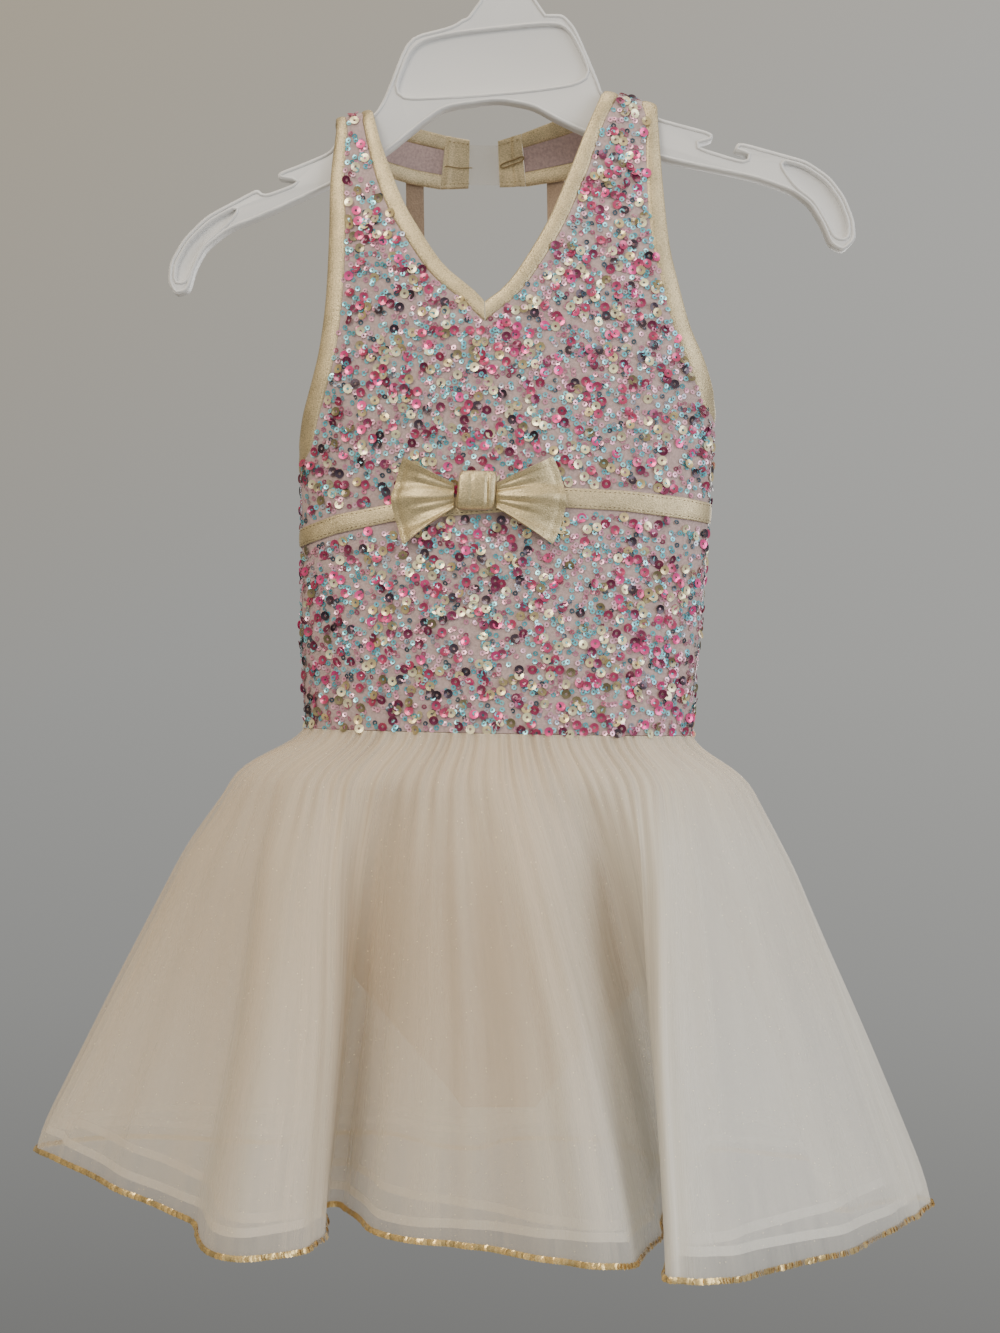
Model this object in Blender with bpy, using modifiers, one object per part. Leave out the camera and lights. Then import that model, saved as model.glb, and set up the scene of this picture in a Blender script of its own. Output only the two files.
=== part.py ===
"""A girl's ballet dress hanging on a one-piece clothes hanger.

The dress is a halter-neck bodice of sequinned net with gold bindings, a gold band and bow, a
brief, and a gathered skirt of three layers of tulle whose outer hem carries a gold trim.
The origin is the seat of the hanger's hook. +X is the wearer's left, seen on the right from
the front, -Y is the front of the dress and +Z is up. Sizes are in millimetres.
"""

import math

import bpy
import numpy as np

MM = 0.001

GAP = 0.3  # between two pieces at a seam
CLOTH = 1.0  # thickness of sequinned net and of tulle
FOLDED = 2.0  # thickness of a folded gold binding


def table(columns, *rows):
    """A short table as a dictionary of its named columns."""
    values = np.array(rows, float)
    return {name: values[:, k] for k, name in enumerate(columns.split())}


# The bodice: half of an ellipse in front and half behind, from the waist seam to the shoulders
BODICE = table(
    "height left right depth",
    (-433.5, -98.0, 100.0, 33.0),
    (-391.0, -100.6, 103.7, 31.0),
    (-340.0, -100.6, 107.8, 29.0),
    (-307.0, -101.0, 110.0, 28.0),
    (-265.0, -104.0, 112.5, 28.0),
    (-225.0, -104.0, 113.0, 27.5),
    (-180.0, -103.0, 107.0, 24.0),
    (-140.0, -101.0, 102.0, 17.0),
    (-100.0, -99.0, 100.0, 12.0),
)
WAIST_Z = -433.5
WAIST_TILT = -0.02  # the waist seam runs down towards +X
SIDE_SEAM = 89.7  # degrees round the ellipse, just short of the side
THICK_SEAM = 89.2  # the same for a thicker edge
HALF_COLUMNS = 11  # of the front, from its middle to a side seam

# Rows of the front panel: heights at the middle or neck edge, and at the side or armhole edge
FRONT_ROWS = table(
    "inner left_outer right_outer",
    (-433.5, -433.5, -433.5),
    (-391.0, -391.0, -391.0),
    (-340.0, -340.0, -340.0),
    (-302.0, -302.0, -302.0),
    (-296.0, -297.0, -296.0),
    (-275.0, -277.0, -275.0),
    (-270.0, -270.5, -270.0),
    (-250.0, -251.0, -250.0),
    (-226.2, -227.0, -226.2),
    (-200.0, -202.0, -200.0),
    (-172.0, -174.0, -172.0),
    (-145.0, -148.0, -145.0),
    (-119.0, -124.0, -117.0),
)
VEE_ROW = 8  # the row at the foot of the V neck
ARMHOLE_ROW = {"left": 3, "right": 5}  # the rows at the foot of each armhole
MIDDLE_X = table("height x", (-433.5, 0.0), (-226.2, -5.9))

# Edges of the openings as the front view shows them, from the bottom up
NECK = {
    "left": table(
        "x z",
        (-6.2, -215.5),
        (-12.4, -209.0),
        (-27.0, -196.5),
        (-39.6, -177.6),
        (-48.2, -161.9),
        (-58.0, -136.0),
        (-62.8, -119.0),
    ),
    "right": table(
        "x z",
        (-6.2, -215.5),
        (1.0, -210.5),
        (10.5, -199.5),
        (25.2, -175.0),
        (35.8, -150.0),
        (46.0, -124.0),
        (52.4, -109.5),
    ),
}
ARMHOLE = {
    "left": table(
        "x z",
        (-101.9, -293.0),
        (-102.3, -287.0),
        (-101.4, -279.0),
        (-99.5, -269.0),
        (-94.3, -251.0),
        (-90.7, -235.7),
        (-87.6, -212.0),
        (-86.0, -180.0),
        (-85.5, -150.0),
        (-82.6, -124.0),
    ),
    "right": table(
        "x z",
        (112.4, -266.0),
        (111.9, -259.0),
        (108.8, -249.0),
        (105.2, -239.8),
        (98.5, -225.3),
        (92.8, -204.6),
        (88.1, -183.9),
        (85.2, -155.0),
        (83.6, -132.0),
        (82.6, -117.0),
    ),
}
NECK_TIP = (-5.9, -225.9)  # the mitred lower point of the neck binding
NECK_BINDING = table("share width", (0.0, 7.6), (0.7, 7.8), (1.0, 6.0))
ARMHOLE_BINDING = table("share width", (0.0, 9.0), (0.7, 8.6), (1.0, 6.0))
EDGE_GAP = 0.5  # between a binding and the cloth beside it, whose walls lean differently
EDGE_STEPS = 36  # along an opening's edge, to find the binding's width square to it

# The halter collar, from the front of each strap over the hanger's arm to the back of the neck:
# its neck edge and its shoulder edge
COLLAR = {
    "left": table(
        "neck_x neck_y neck_z edge_x edge_y edge_z",
        (-63.6, -9.6, -115.6, -82.5, -7.4, -120.6),
        (-64.8, -5.5, -113.6, -83.0, -5.0, -118.2),
        (-65.0, 0.5, -113.3, -83.6, 0.5, -117.6),
        (-64.6, 7.0, -113.0, -84.0, 7.0, -120.0),
        (-62.5, 15.0, -112.4, -81.0, 15.0, -129.0),
        (-57.0, 24.5, -111.2, -73.0, 25.0, -134.8),
        (-49.0, 33.5, -111.0, -61.0, 35.5, -137.0),
        (-39.0, 41.5, -111.2, -47.0, 44.0, -139.5),
        (-28.0, 47.0, -112.6, -31.0, 49.6, -141.2),
    ),
    "right": table(
        "neck_x neck_y neck_z edge_x edge_y edge_z",
        (53.6, -8.6, -106.0, 82.6, -7.2, -113.2),
        (55.3, -5.0, -103.6, 82.2, -5.0, -110.8),
        (55.6, 0.5, -102.8, 82.0, 0.5, -110.0),
        (55.0, 7.5, -102.6, 81.5, 8.0, -113.0),
        (52.6, 15.5, -102.8, 77.5, 17.0, -121.5),
        (48.0, 25.0, -103.3, 70.5, 27.0, -129.5),
        (41.5, 34.0, -104.0, 59.5, 36.5, -133.5),
        (33.0, 41.5, -105.4, 45.0, 44.5, -136.0),
        (13.4, 49.2, -111.0, 15.8, 51.4, -139.2),
    ),
}
COLLAR_EDGING = 0.28  # share of the collar's height that each gold edging takes
COLLAR_SEAM = 0.006  # half a seam's gap as a share of that height
TABS = {
    "left": ((-27.7, 47.1, -112.7), (-30.7, 49.7, -141.3), (-15.0, 50.0, -114.2), (-15.6, 51.6, -140.2)),
    "right": ((13.1, 49.3, -111.1), (15.5, 51.5, -139.2), (0.4, 50.6, -114.6), (1.4, 52.4, -139.4)),
}
STRIP = {"x": (-19.0, -7.5, 4.5), "y": (53.4, 54.6, 54.8), "z": (-137.6, -116.0)}

# The back: its low upper edge, and the straps that hold it to the collar
BACK_EDGE = table(
    "x z",
    (-101.9, -293.0),
    (-74.0, -297.5),
    (-42.0, -301.0),
    (0.0, -304.0),
    (40.0, -295.0),
    (76.0, -280.0),
    (112.4, -266.0),
)
BACK_BINDING = 9.0
BACK_COLUMNS = 22
BACK_ROWS = 4
STRAP_WIDTH = 9.5
STRAP_THICKNESS = 1.2
STRAPS = {  # the slope is how far the strap's face turns along Y for each mm of its width
    "left": table(
        "x y z slope",
        (-44.6, 46.8, -129.0, 0.34),
        (-44.6, 47.6, -141.0, 0.34),
        (-43.6, 41.0, -195.0, 0.26),
        (-42.6, 32.6, -260.0, 0.18),
        (-42.0, 27.9, -308.0, 0.13),
    ),
    "right": table(
        "x y z slope",
        (31.5, 49.9, -130.0, -0.25),
        (31.8, 50.3, -139.0, -0.25),
        (32.2, 42.0, -190.0, -0.20),
        (32.6, 33.0, -250.0, -0.14),
        (33.0, 29.3, -302.0, -0.09),
    ),
}

# The gold band round the front, and the bow on it
BAND = table(
    "x top bottom",
    (-101.6, -329.5, -338.8),
    (-81.0, -322.7, -332.4),
    (-51.0, -317.5, -326.3),
    (34.0, -309.9, -319.8),
    (64.0, -311.0, -321.3),
    (94.5, -313.8, -324.6),
    (109.4, -316.0, -326.4),
)
BAND_LIFT = CLOTH / 2 + GAP + 0.1 + CLOTH / 2
KNOT = {"x": -10.2, "z": -311.8, "width": 19.0, "height": 20.0, "deep": 9.0, "round": 3.0}
KNOT_LIFT = BAND_LIFT + CLOTH / 2 + GAP
WINGS = {
    "left": {"root_x": -20.5, "tip_x": -50.0, "corner_x": 6.0},
    "right": {"root_x": 0.1, "tip_x": 33.0, "corner_x": -6.5},
}
WING_ROOT_Z = (-307.8, -320.2)
WING_TIP_Z = (-294.6, -338.6)
WING_PLEATS = 4
WING_STEPS = 5
WING_THICKNESS = 2.0
WING_LIFT = 2.6  # of the middle of its pleats, from the back of the knot
WING_BULGE = 2.2  # and further out halfway along the wing

# The brief under the skirt: rows from the waist down to the seam between the legs
BRIEF = table(
    "height half depth",
    (-433.9, 92.8, 26.8),
    (-480.0, 88.8, 23.2),
    (-520.0, 86.0, 21.0),
    (-552.0, 80.0, 18.0),
    (-575.0, 62.0, 15.0),
    (-600.0, 41.0, 11.0),
    (-618.0, 26.0, 5.5),
    (-628.0, 19.0, 1.2),
)
BRIEF_SIDE_ROWS = 4  # rows whose ends meet at the side seams
BRIEF_LEG_REACH = 72.0  # degrees round the ellipse of the first row with a leg edge
BRIEF_LEG_STEP = 8.0  # and so much less a row below it
BRIEF_COLUMNS = 12

# The skirt: how far out (spread) each row has gone on its way down (drop) to an even hem, and
# how far its folds have grown
SKIRT_ROWS = table(
    "drop spread fold",
    (0.0, 0.0, 0.0),
    (0.018, 0.006, 0.0),
    (0.09, 0.24, 0.06),
    (0.28, 0.45, 0.30),
    (0.60, 0.70, 0.66),
    (1.0, 1.0, 1.0),
)
EVEN_HEM = {"x": -12.0, "y": -8.0, "half": 226.0, "front": 125.0, "back": 112.0}
SKIRT_TOP = WAIST_Z - GAP
WAIST_LIFT = 0.9  # of the outer layer off the bodice
LAYERS = {  # mm inside and below the outer layer, and share of its drop
    "outer": {"inside": 0.0, "below": 0.0, "drop": 1.0},
    "middle": {"inside": 2.0, "below": 1.6, "drop": 0.955},
    "inner": {"inside": 4.0, "below": 3.2, "drop": 0.913},
}
GATHER = 0.75  # how far a gather stands out and in at the waist
GATHER_SLOPE = 0.25  # and at most this share of its own width
GATHER_FADE = 9.0  # the gathers die away over a few of these shares of the drop
FRONT_COLUMNS = 76  # of each layer, two to a gather
BACK_SKIRT_COLUMNS = 54
BEND_STEPS = 12  # of the smooth curve between two bends of the hem
EVEN_SHARE = 0.65  # how evenly the columns are gathered into the waist, from 0 to 1
BEND_SHARE = 0.6  # how far the columns follow the bends of the hem and not its length

# The bends of the outer hem, seen from above, going round from the left side seam
HEM_FRONT = table(
    "x y z",
    (-228.0, -11.0, -654.0),
    (-190.0, -40.0, -661.0),
    (-150.0, -78.0, -668.0),
    (-132.0, -115.0, -673.0),
    (-97.0, -116.0, -673.0),
    (-82.0, -94.0, -672.0),
    (-90.0, -42.0, -672.0),
    (-79.0, -35.0, -672.0),
    (-46.0, -92.0, -672.0),
    (-10.0, -108.0, -671.0),
    (30.0, -137.0, -671.0),
    (60.0, -139.0, -671.0),
    (73.0, -104.0, -671.0),
    (85.0, -44.0, -671.0),
    (98.0, -42.0, -671.0),
    (92.0, -100.0, -672.0),
    (76.0, -147.0, -673.0),
    (82.0, -160.0, -673.0),
    (108.0, -146.0, -675.0),
    (160.0, -104.0, -676.0),
    (203.0, -54.0, -676.0),
)
HEM_BACK = table(
    "x y z",
    (216.0, -30.0, -676.0),
    (222.0, -15.0, -676.0),
    (215.0, -6.0, -676.0),
    (202.0, -13.0, -676.0),
    (180.0, -31.0, -675.0),
    (172.0, -26.0, -675.0),
    (177.0, -8.0, -675.0),
    (202.0, 32.0, -675.0),
    (172.0, 74.0, -675.0),
    (130.0, 98.0, -675.0),
    (112.0, 73.0, -674.0),
    (88.0, 78.0, -674.0),
    (64.0, 116.0, -675.0),
    (14.0, 124.0, -675.0),
    (-6.0, 92.0, -673.0),
    (-34.0, 94.0, -672.0),
    (-60.0, 124.0, -672.0),
    (-106.0, 114.0, -670.0),
    (-124.0, 80.0, -667.0),
    (-167.0, 62.0, -661.0),
    (-205.0, 46.0, -656.0),
    (-243.0, 10.0, -652.0),
)
TRIM_HEIGHT = 6.0
TRIM_THICKNESS = 1.2

# The hanger's outline in front view: the hook's arcs, and each side from the neck down
HOOK_INNER = 15.0
HOOK_OUTER = 24.0
HOOK_START = -30.0  # degrees round the hook's centre, from the stem ...
HOOK_END = 200.0  # ... over the top to the tip
HOOK_STEPS = 14
STEM_RIGHT = ((17.5, -36.0), (15.5, -45.0), (19.2, -54.3))
STEM_LEFT = ((-9.3, -56.4), (-5.5, -46.0), (-1.0, -38.5), (7.0, -30.5))
HOOK_TIP = ((-21.0, -26.5), (-17.0, -26.0))
HANGER_RIGHT = (
    (25.4, -63.1), (34.2, -63.1), (40.9, -70.4), (52.6, -98.0), (54.5, -104.6),
    (70.0, -109.4), (79.0, -113.4), (83.4, -117.0), (111.4, -124.3), (111.4, -128.4),
    (101.0, -130.8), (128.0, -139.2), (130.5, -136.0), (122.3, -133.6), (124.5, -128.9),
    (147.2, -135.2), (160.1, -138.8), (172.1, -147.1), (179.8, -157.4), (184.5, -169.4),
    (185.5, -179.7), (178.8, -185.9), (172.1, -182.3), (167.9, -172.0), (161.7, -161.6),
    (152.4, -154.8), (133.7, -148.1), (86.0, -138.3), (45.1, -124.8), (30.1, -117.5),
    (18.1, -110.8), (0.5, -107.6),
)
HANGER_LEFT = (
    (-26.4, -111.4), (-38.4, -119.6), (-58.0, -135.7), (-86.0, -151.7), (-120.2, -167.3),
    (-138.4, -174.5), (-150.3, -183.9), (-156.0, -194.2), (-159.1, -206.2), (-166.4, -208.2),
    (-170.0, -201.5), (-169.0, -191.1), (-162.2, -179.2), (-150.3, -167.3), (-133.7, -158.5),
    (-123.8, -153.3), (-120.2, -156.6), (-101.8, -149.6), (-113.0, -148.1), (-113.0, -145.0),
    (-101.0, -140.4), (-86.0, -134.1), (-81.0, -124.5), (-74.0, -118.8), (-63.2, -114.9),
    (-58.0, -105.9), (-46.1, -75.0), (-23.3, -69.3), (-15.6, -64.1),
)
HANGER_THICKNESS = 8.0
RECESS_DEPTH = 2.5
RECESSES = {
    "plate": (
        (-54.0, -106.5), (-21.0, -105.0), (13.5, -102.4), (40.0, -98.8), (47.6, -94.0),
        (38.0, -73.4), (31.0, -68.0), (-21.0, -73.4), (-43.0, -78.6),
    ),
    "arm_left": (
        (-133.0, -162.6), (-147.6, -170.4), (-159.0, -181.4), (-165.0, -192.6), (-165.8, -201.4),
        (-160.6, -200.6), (-153.2, -182.2), (-140.2, -171.4),
    ),
    "arm_right": (
        (146.0, -139.0), (158.4, -142.4), (169.4, -150.0), (176.6, -160.0), (180.6, -171.0),
        (180.6, -178.6), (175.0, -178.0), (171.2, -170.4), (164.4, -158.8), (154.4, -151.4),
    ),
}

MATERIALS = {  # colour, roughness and metallic value
    "sequinned_net": ((0.33, 0.22, 0.24), 0.45, 0.1),
    "gold_lame": ((0.45, 0.36, 0.20), 0.38, 0.5),
    "tulle_champagne": ((0.55, 0.45, 0.32), 0.7, 0.0),
    "tulle_white": ((0.66, 0.64, 0.60), 0.75, 0.0),
    "nude_cloth": ((0.36, 0.24, 0.16), 0.65, 0.0),
    "gold_trim": ((0.42, 0.29, 0.12), 0.3, 0.6),
    "clear_elastic": ((0.62, 0.57, 0.50), 0.25, 0.0),
    "hanger_plastic": ((0.62, 0.62, 0.61), 0.35, 0.0),
}


def clear_scene():
    for item in list(bpy.data.objects):
        bpy.data.objects.remove(item, do_unlink=True)


def new_collection(name):
    collection = bpy.data.collections.new(name)
    bpy.context.scene.collection.children.link(collection)
    return collection


def material(name):
    """The named finish, made on first use."""
    found = bpy.data.materials.get(name)
    if found:
        return found
    colour, roughness, metallic = MATERIALS[name]
    made = bpy.data.materials.new(name)
    made.use_nodes = True
    shader = made.node_tree.nodes["Principled BSDF"]
    shader.inputs["Base Color"].default_value = (*colour, 1.0)
    shader.inputs["Roughness"].default_value = roughness
    shader.inputs["Metallic"].default_value = metallic
    return made


def piece(name, points, faces, finish, collection):
    """A new object from points in millimetres."""
    mesh = bpy.data.meshes.new(name)
    mesh.from_pydata([tuple(MM * value for value in point) for point in points], [], faces)
    mesh.shade_smooth()
    made = bpy.data.objects.new(name, mesh)
    made.data.materials.append(material(finish))
    collection.objects.link(made)
    return made


def cloth(name, rows, thickness, finish, collection):
    """A wall whose middle runs through a grid of points, given as rows of equal length."""
    grid = np.array(rows, float)
    count, wide = grid.shape[:2]
    faces = [
        (r * wide + c, r * wide + c + 1, (r + 1) * wide + c + 1, (r + 1) * wide + c)
        for r in range(count - 1)
        for c in range(wide - 1)
    ]
    made = piece(name, grid.reshape(-1, 3), faces, finish, collection)
    thicken(made, thickness)
    return made


def thicken(made, thickness):
    wall = made.modifiers.new("wall", "SOLIDIFY")
    wall.thickness = thickness * MM
    wall.offset = 0.0
    wall.use_even_offset = False


def spline(points, steps, closed=False):
    """Points on a smooth curve through the given ones, with so many steps between two."""
    points = np.array(points, float)
    count = len(points)
    pad = np.vstack([points[-1:], points, points[:2]]) if closed else np.vstack(
        [2 * points[:1] - points[1:2], points, 2 * points[-1:] - points[-2:-1]]
    )
    found = []
    for k in range(count if closed else count - 1):
        before, start, end, after = pad[k : k + 4]
        for step in range(steps):
            t = step / steps
            found.append(
                0.5
                * (
                    2 * start
                    + (end - before) * t
                    + (2 * before - 5 * start + 4 * end - after) * t**2
                    + (3 * start - before - 3 * end + after) * t**3
                )
            )
    return np.array(found if closed else found + [points[-1]])


def spread_evenly(points, count):
    """So many points at equal distances along a line of points."""
    points = np.array(points, float)
    run = np.concatenate([[0], np.cumsum(np.linalg.norm(np.diff(points, axis=0), axis=1))])
    at = np.linspace(0, run[-1], count)
    return np.stack([np.interp(at, run, points[:, k]) for k in range(points.shape[1])], axis=1)


def girth(height):
    """Middle, half width and depth of the bodice at a height."""
    left, right, depth = (
        np.interp(height, BODICE["height"], BODICE[side]) for side in ("left", "right", "depth")
    )
    return (left + right) / 2, (right - left) / 2, depth


def on_bodice(angle, height, lift=0.0, back=False):
    """The point so many degrees round from the middle, lifted off the cloth's middle."""
    middle, half, depth = girth(height)
    turn = math.radians(angle)
    y = (depth + lift) * math.cos(turn)
    return (middle + (half + lift) * math.sin(turn), y if back else -y, height)


def facing(angle, height):
    """The way that the bodice faces at an angle and height of its front."""
    _, half, depth = girth(height)
    turn = math.radians(angle)
    way = np.array([math.sin(turn) / half, -math.cos(turn) / depth, 0.0])
    return way / np.linalg.norm(way)


def crowded(share):
    """A share of the way to a side seam, with the columns closer together near the seam."""
    return (share + math.sin(math.pi / 2 * share)) / 2


def seam_to_seam(reach, columns):
    """Angles from one side seam to the other."""
    half = [reach * crowded(share) for share in np.linspace(0, 1, columns // 2 + 1)]
    return np.array([-angle for angle in half[:0:-1]] + half)


def angle_at(x, height):
    middle, half, _ = girth(height)
    return math.degrees(math.asin(max(-1.0, min(1.0, (x - middle) / half))))


def front_path(edge):
    """An opening's edge as angles and heights, evenly spaced."""
    line = spline(np.stack([edge["x"], edge["z"]], axis=1), 6)
    return np.array([(angle_at(x, z), z) for x, z in spread_evenly(line, EDGE_STEPS + 1)])


def moved_in(path, widths, towards):
    """The path moved over the front by widths, to its left (-1) or its right (1) going up."""
    spots = np.array([on_bodice(angle, z) for angle, z in path])
    found = []
    for k, spot in enumerate(spots):
        along = spots[min(k + 1, len(spots) - 1)] - spots[max(k - 1, 0)]
        across = np.cross(along, facing(*path[k])) * towards
        to = spot + across / np.linalg.norm(across) * widths[k]
        middle, half, depth = girth(to[2])
        found.append((math.degrees(math.atan2((to[0] - middle) / half, -to[1] / depth)), to[2]))
    return np.array(found)


def side_of(side):
    return -1 if side == "left" else 1


def opening_lines(kind, side):
    """A binding's opening edge, its edge on the cloth and the cloth's own edge, up the front.

    All have one angle and height for each row of the front panel from the opening's foot up.
    """
    neck = kind == "neck"
    path = front_path((NECK if neck else ARMHOLE)[side])
    widths = NECK_BINDING if neck else ARMHOLE_BINDING
    widths = np.interp(np.linspace(0, 1, EDGE_STEPS + 1), widths["share"], widths["width"])
    towards = side_of(side) if neck else -side_of(side)
    lines = [path] + [moved_in(path, widths + extra, towards) for extra in (0.0, EDGE_GAP)]
    for line, extra in zip(lines[1:], (0.0, EDGE_GAP)):
        if neck:
            line[0] = (angle_at(NECK_TIP[0], NECK_TIP[1] - extra), NECK_TIP[1] - extra)
        else:
            line[0] = (side_of(side) * THICK_SEAM, path[0][1] - widths[0] - extra)
    if not neck:
        path[0][0] = side_of(side) * THICK_SEAM
        lines[2][0][0] = side_of(side) * SIDE_SEAM
    first = VEE_ROW if neck else ARMHOLE_ROW[side]
    heights = FRONT_ROWS["inner" if neck else side + "_outer"][first:]
    steps = np.arange(EDGE_STEPS + 1)
    at = np.interp(heights, np.maximum.accumulate(lines[1][:, 1]), steps)
    return [np.stack([np.interp(at, steps, line[:, k]) for k in (0, 1)], axis=1) for line in lines]


def front_half(side):
    """Rows of the front from its middle column to its side, as points."""
    neck = opening_lines("neck", side)[2]
    armhole = opening_lines("armhole", side)[2]
    rows = []
    for row, (inner_z, outer_z) in enumerate(zip(FRONT_ROWS["inner"], FRONT_ROWS[side + "_outer"])):
        middle_x = np.interp(inner_z, MIDDLE_X["height"], MIDDLE_X["x"])
        inner = (angle_at(middle_x, inner_z), inner_z)
        outer = (side_of(side) * SIDE_SEAM, outer_z)
        if row >= VEE_ROW:
            inner = neck[row - VEE_ROW]
        if row >= ARMHOLE_ROW[side]:
            outer = armhole[row - ARMHOLE_ROW[side]]
        shares = [crowded(share) for share in np.linspace(0, 1, HALF_COLUMNS + 1)]
        points = [
            on_bodice(*(start + (end - start) * share for start, end in zip(inner, outer)))
            for share in shares
        ]
        if row == 0:
            points = [(x, y, z + WAIST_TILT * x) for x, y, z in points]
        rows.append(points)
    return rows


def bodice_front(collection):
    """One panel, split in two straps above the foot of the V."""
    left, right = front_half("left"), front_half("right")
    points, faces, places = [], [], {}

    def place(side, row, column):
        key = ("middle" if column == 0 and row <= VEE_ROW else side, row, column)
        if key not in places:
            places[key] = len(points)
            points.append((left if side == "left" else right)[row][column])
        return places[key]

    for side in ("left", "right"):
        for row in range(len(left) - 1):
            for column in range(HALF_COLUMNS):
                corners = [
                    place(side, row, column),
                    place(side, row, column + 1),
                    place(side, row + 1, column + 1),
                    place(side, row + 1, column),
                ]
                faces.append(corners if side == "right" else corners[::-1])
    thicken(piece("bodice_front", points, faces, "sequinned_net", collection), CLOTH)


def back_height(x, share):
    """The height of the back panel's row that is so far up, at an x."""
    bottom = WAIST_Z + WAIST_TILT * x
    top = np.interp(x, BACK_EDGE["x"], BACK_EDGE["z"]) - BACK_BINDING - GAP
    return bottom + (top - bottom) * share


def bodice_back(collection):
    rows = []
    for share in np.linspace(0, 1, BACK_ROWS + 1):
        points = []
        for angle in seam_to_seam(SIDE_SEAM, BACK_COLUMNS)[::-1]:
            z = back_height(on_bodice(angle, -360.0)[0], share)
            points.append(on_bodice(angle, z, back=True))
        rows.append(points)
    cloth("bodice_back", rows, CLOTH, "sequinned_net", collection)


def back_binding(collection):
    rows = []
    for drop in (BACK_BINDING, BACK_BINDING / 2, 0.0):
        points = []
        for angle in seam_to_seam(THICK_SEAM, BACK_COLUMNS)[::-1]:
            x = on_bodice(angle, -300.0)[0]
            z = np.interp(x, BACK_EDGE["x"], BACK_EDGE["z"]) - drop
            points.append(on_bodice(angle, z, back=True))
        rows.append(points)
    cloth("back_binding", rows, FOLDED, "gold_lame", collection)


def collar_line(side, share):
    """Points along the collar at a share of the way from its neck edge to its shoulder edge."""
    sizes = COLLAR[side]
    neck = np.stack([sizes["neck_x"], sizes["neck_y"], sizes["neck_z"]], axis=1)
    edge = np.stack([sizes["edge_x"], sizes["edge_y"], sizes["edge_z"]], axis=1)
    return spline(neck + (edge - neck) * share, 2)


def ribbon(name, lines, thickness, finish, side, collection):
    """A strip between lines of points, the first of them nearer the neck."""
    rows = np.array(lines, float)
    cloth(name, rows if side == "left" else rows[::-1], thickness, finish, collection)


def bindings(collection):
    """The gold bindings of the neck and the armholes, which run on round the collar."""
    for side in ("left", "right"):
        for name, lines, shares in (
            ("neck_binding_", opening_lines("neck", side), (0.0, COLLAR_EDGING - COLLAR_SEAM)),
            (
                "armhole_binding_",
                opening_lines("armhole", side),
                (1.0, 1 - COLLAR_EDGING + COLLAR_SEAM),
            ),
        ):
            ends = []
            for line, share in zip(lines, shares):
                front = [on_bodice(angle, z) for angle, z in line]
                ends.append(np.vstack([front, collar_line(side, share)]))
            middle = (ends[0] + ends[1]) / 2
            if name == "neck_binding_":  # parted from the other half at the foot of the V
                for line in (ends[0], middle, ends[1]):
                    line[0][0] += side_of(side) * GAP / 2
            strips = (ends[0], middle, ends[1])
            turned = strips if name == "neck_binding_" else strips[::-1]
            ribbon(name + side, turned, FOLDED, "gold_lame", side, collection)


def collar(collection):
    """The sequinned middle of the collar and the gold tab at its end."""
    for side in ("left", "right"):
        shares = (COLLAR_EDGING + COLLAR_SEAM, 0.5, 1 - COLLAR_EDGING - COLLAR_SEAM)
        lines = [collar_line(side, share)[1:] for share in shares]
        ribbon("collar_" + side, lines, CLOTH, "sequinned_net", side, collection)
        neck_start, edge_start, neck_end, edge_end = np.array(TABS[side])
        lines = [
            [neck_start + (edge_start - neck_start) * s, neck_end + (edge_end - neck_end) * s]
            for s in (0.0, 0.5, 1.0)
        ]
        ribbon("collar_tab_" + side, lines, FOLDED, "gold_lame", side, collection)


def closure_strip(collection):
    rows = [[(x, y, z) for x, y in zip(STRIP["x"], STRIP["y"])] for z in STRIP["z"]]
    cloth("closure_strip", rows, CLOTH, "clear_elastic", collection)


def back_straps(collection):
    for side, line in STRAPS.items():
        middle = spline(np.stack([line[name] for name in ("x", "y", "z", "slope")], axis=1), 3)
        across = np.stack([0 * middle[:, 3] + 1.0, middle[:, 3], 0 * middle[:, 3]], axis=1)
        rows = [middle[:, :3] + across * half for half in (-STRAP_WIDTH / 2, 0.0, STRAP_WIDTH / 2)]
        cloth("back_strap_" + side, rows, STRAP_THICKNESS, "nude_cloth", collection)


def front_angles(height):
    """The angles of the front panel's columns at a height below the armholes."""
    middle = angle_at(np.interp(height, MIDDLE_X["height"], MIDDLE_X["x"]), height)
    shares = np.array([crowded(share) for share in np.linspace(0, 1, HALF_COLUMNS + 1)])
    left, right = (middle + (end - middle) * shares for end in (-SIDE_SEAM, SIDE_SEAM))
    return np.concatenate([left[::-1], right[1:]])


def empire_band(collection):
    rows = []
    for edge in ("bottom", "top"):
        points = []
        for angle in front_angles(-320.0):
            x = on_bodice(angle, -320.0)[0]
            points.append(on_bodice(angle, np.interp(x, BAND["x"], BAND[edge]), BAND_LIFT))
        rows.append(points)
    cloth("empire_band", rows, CLOTH, "gold_lame", collection)


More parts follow.
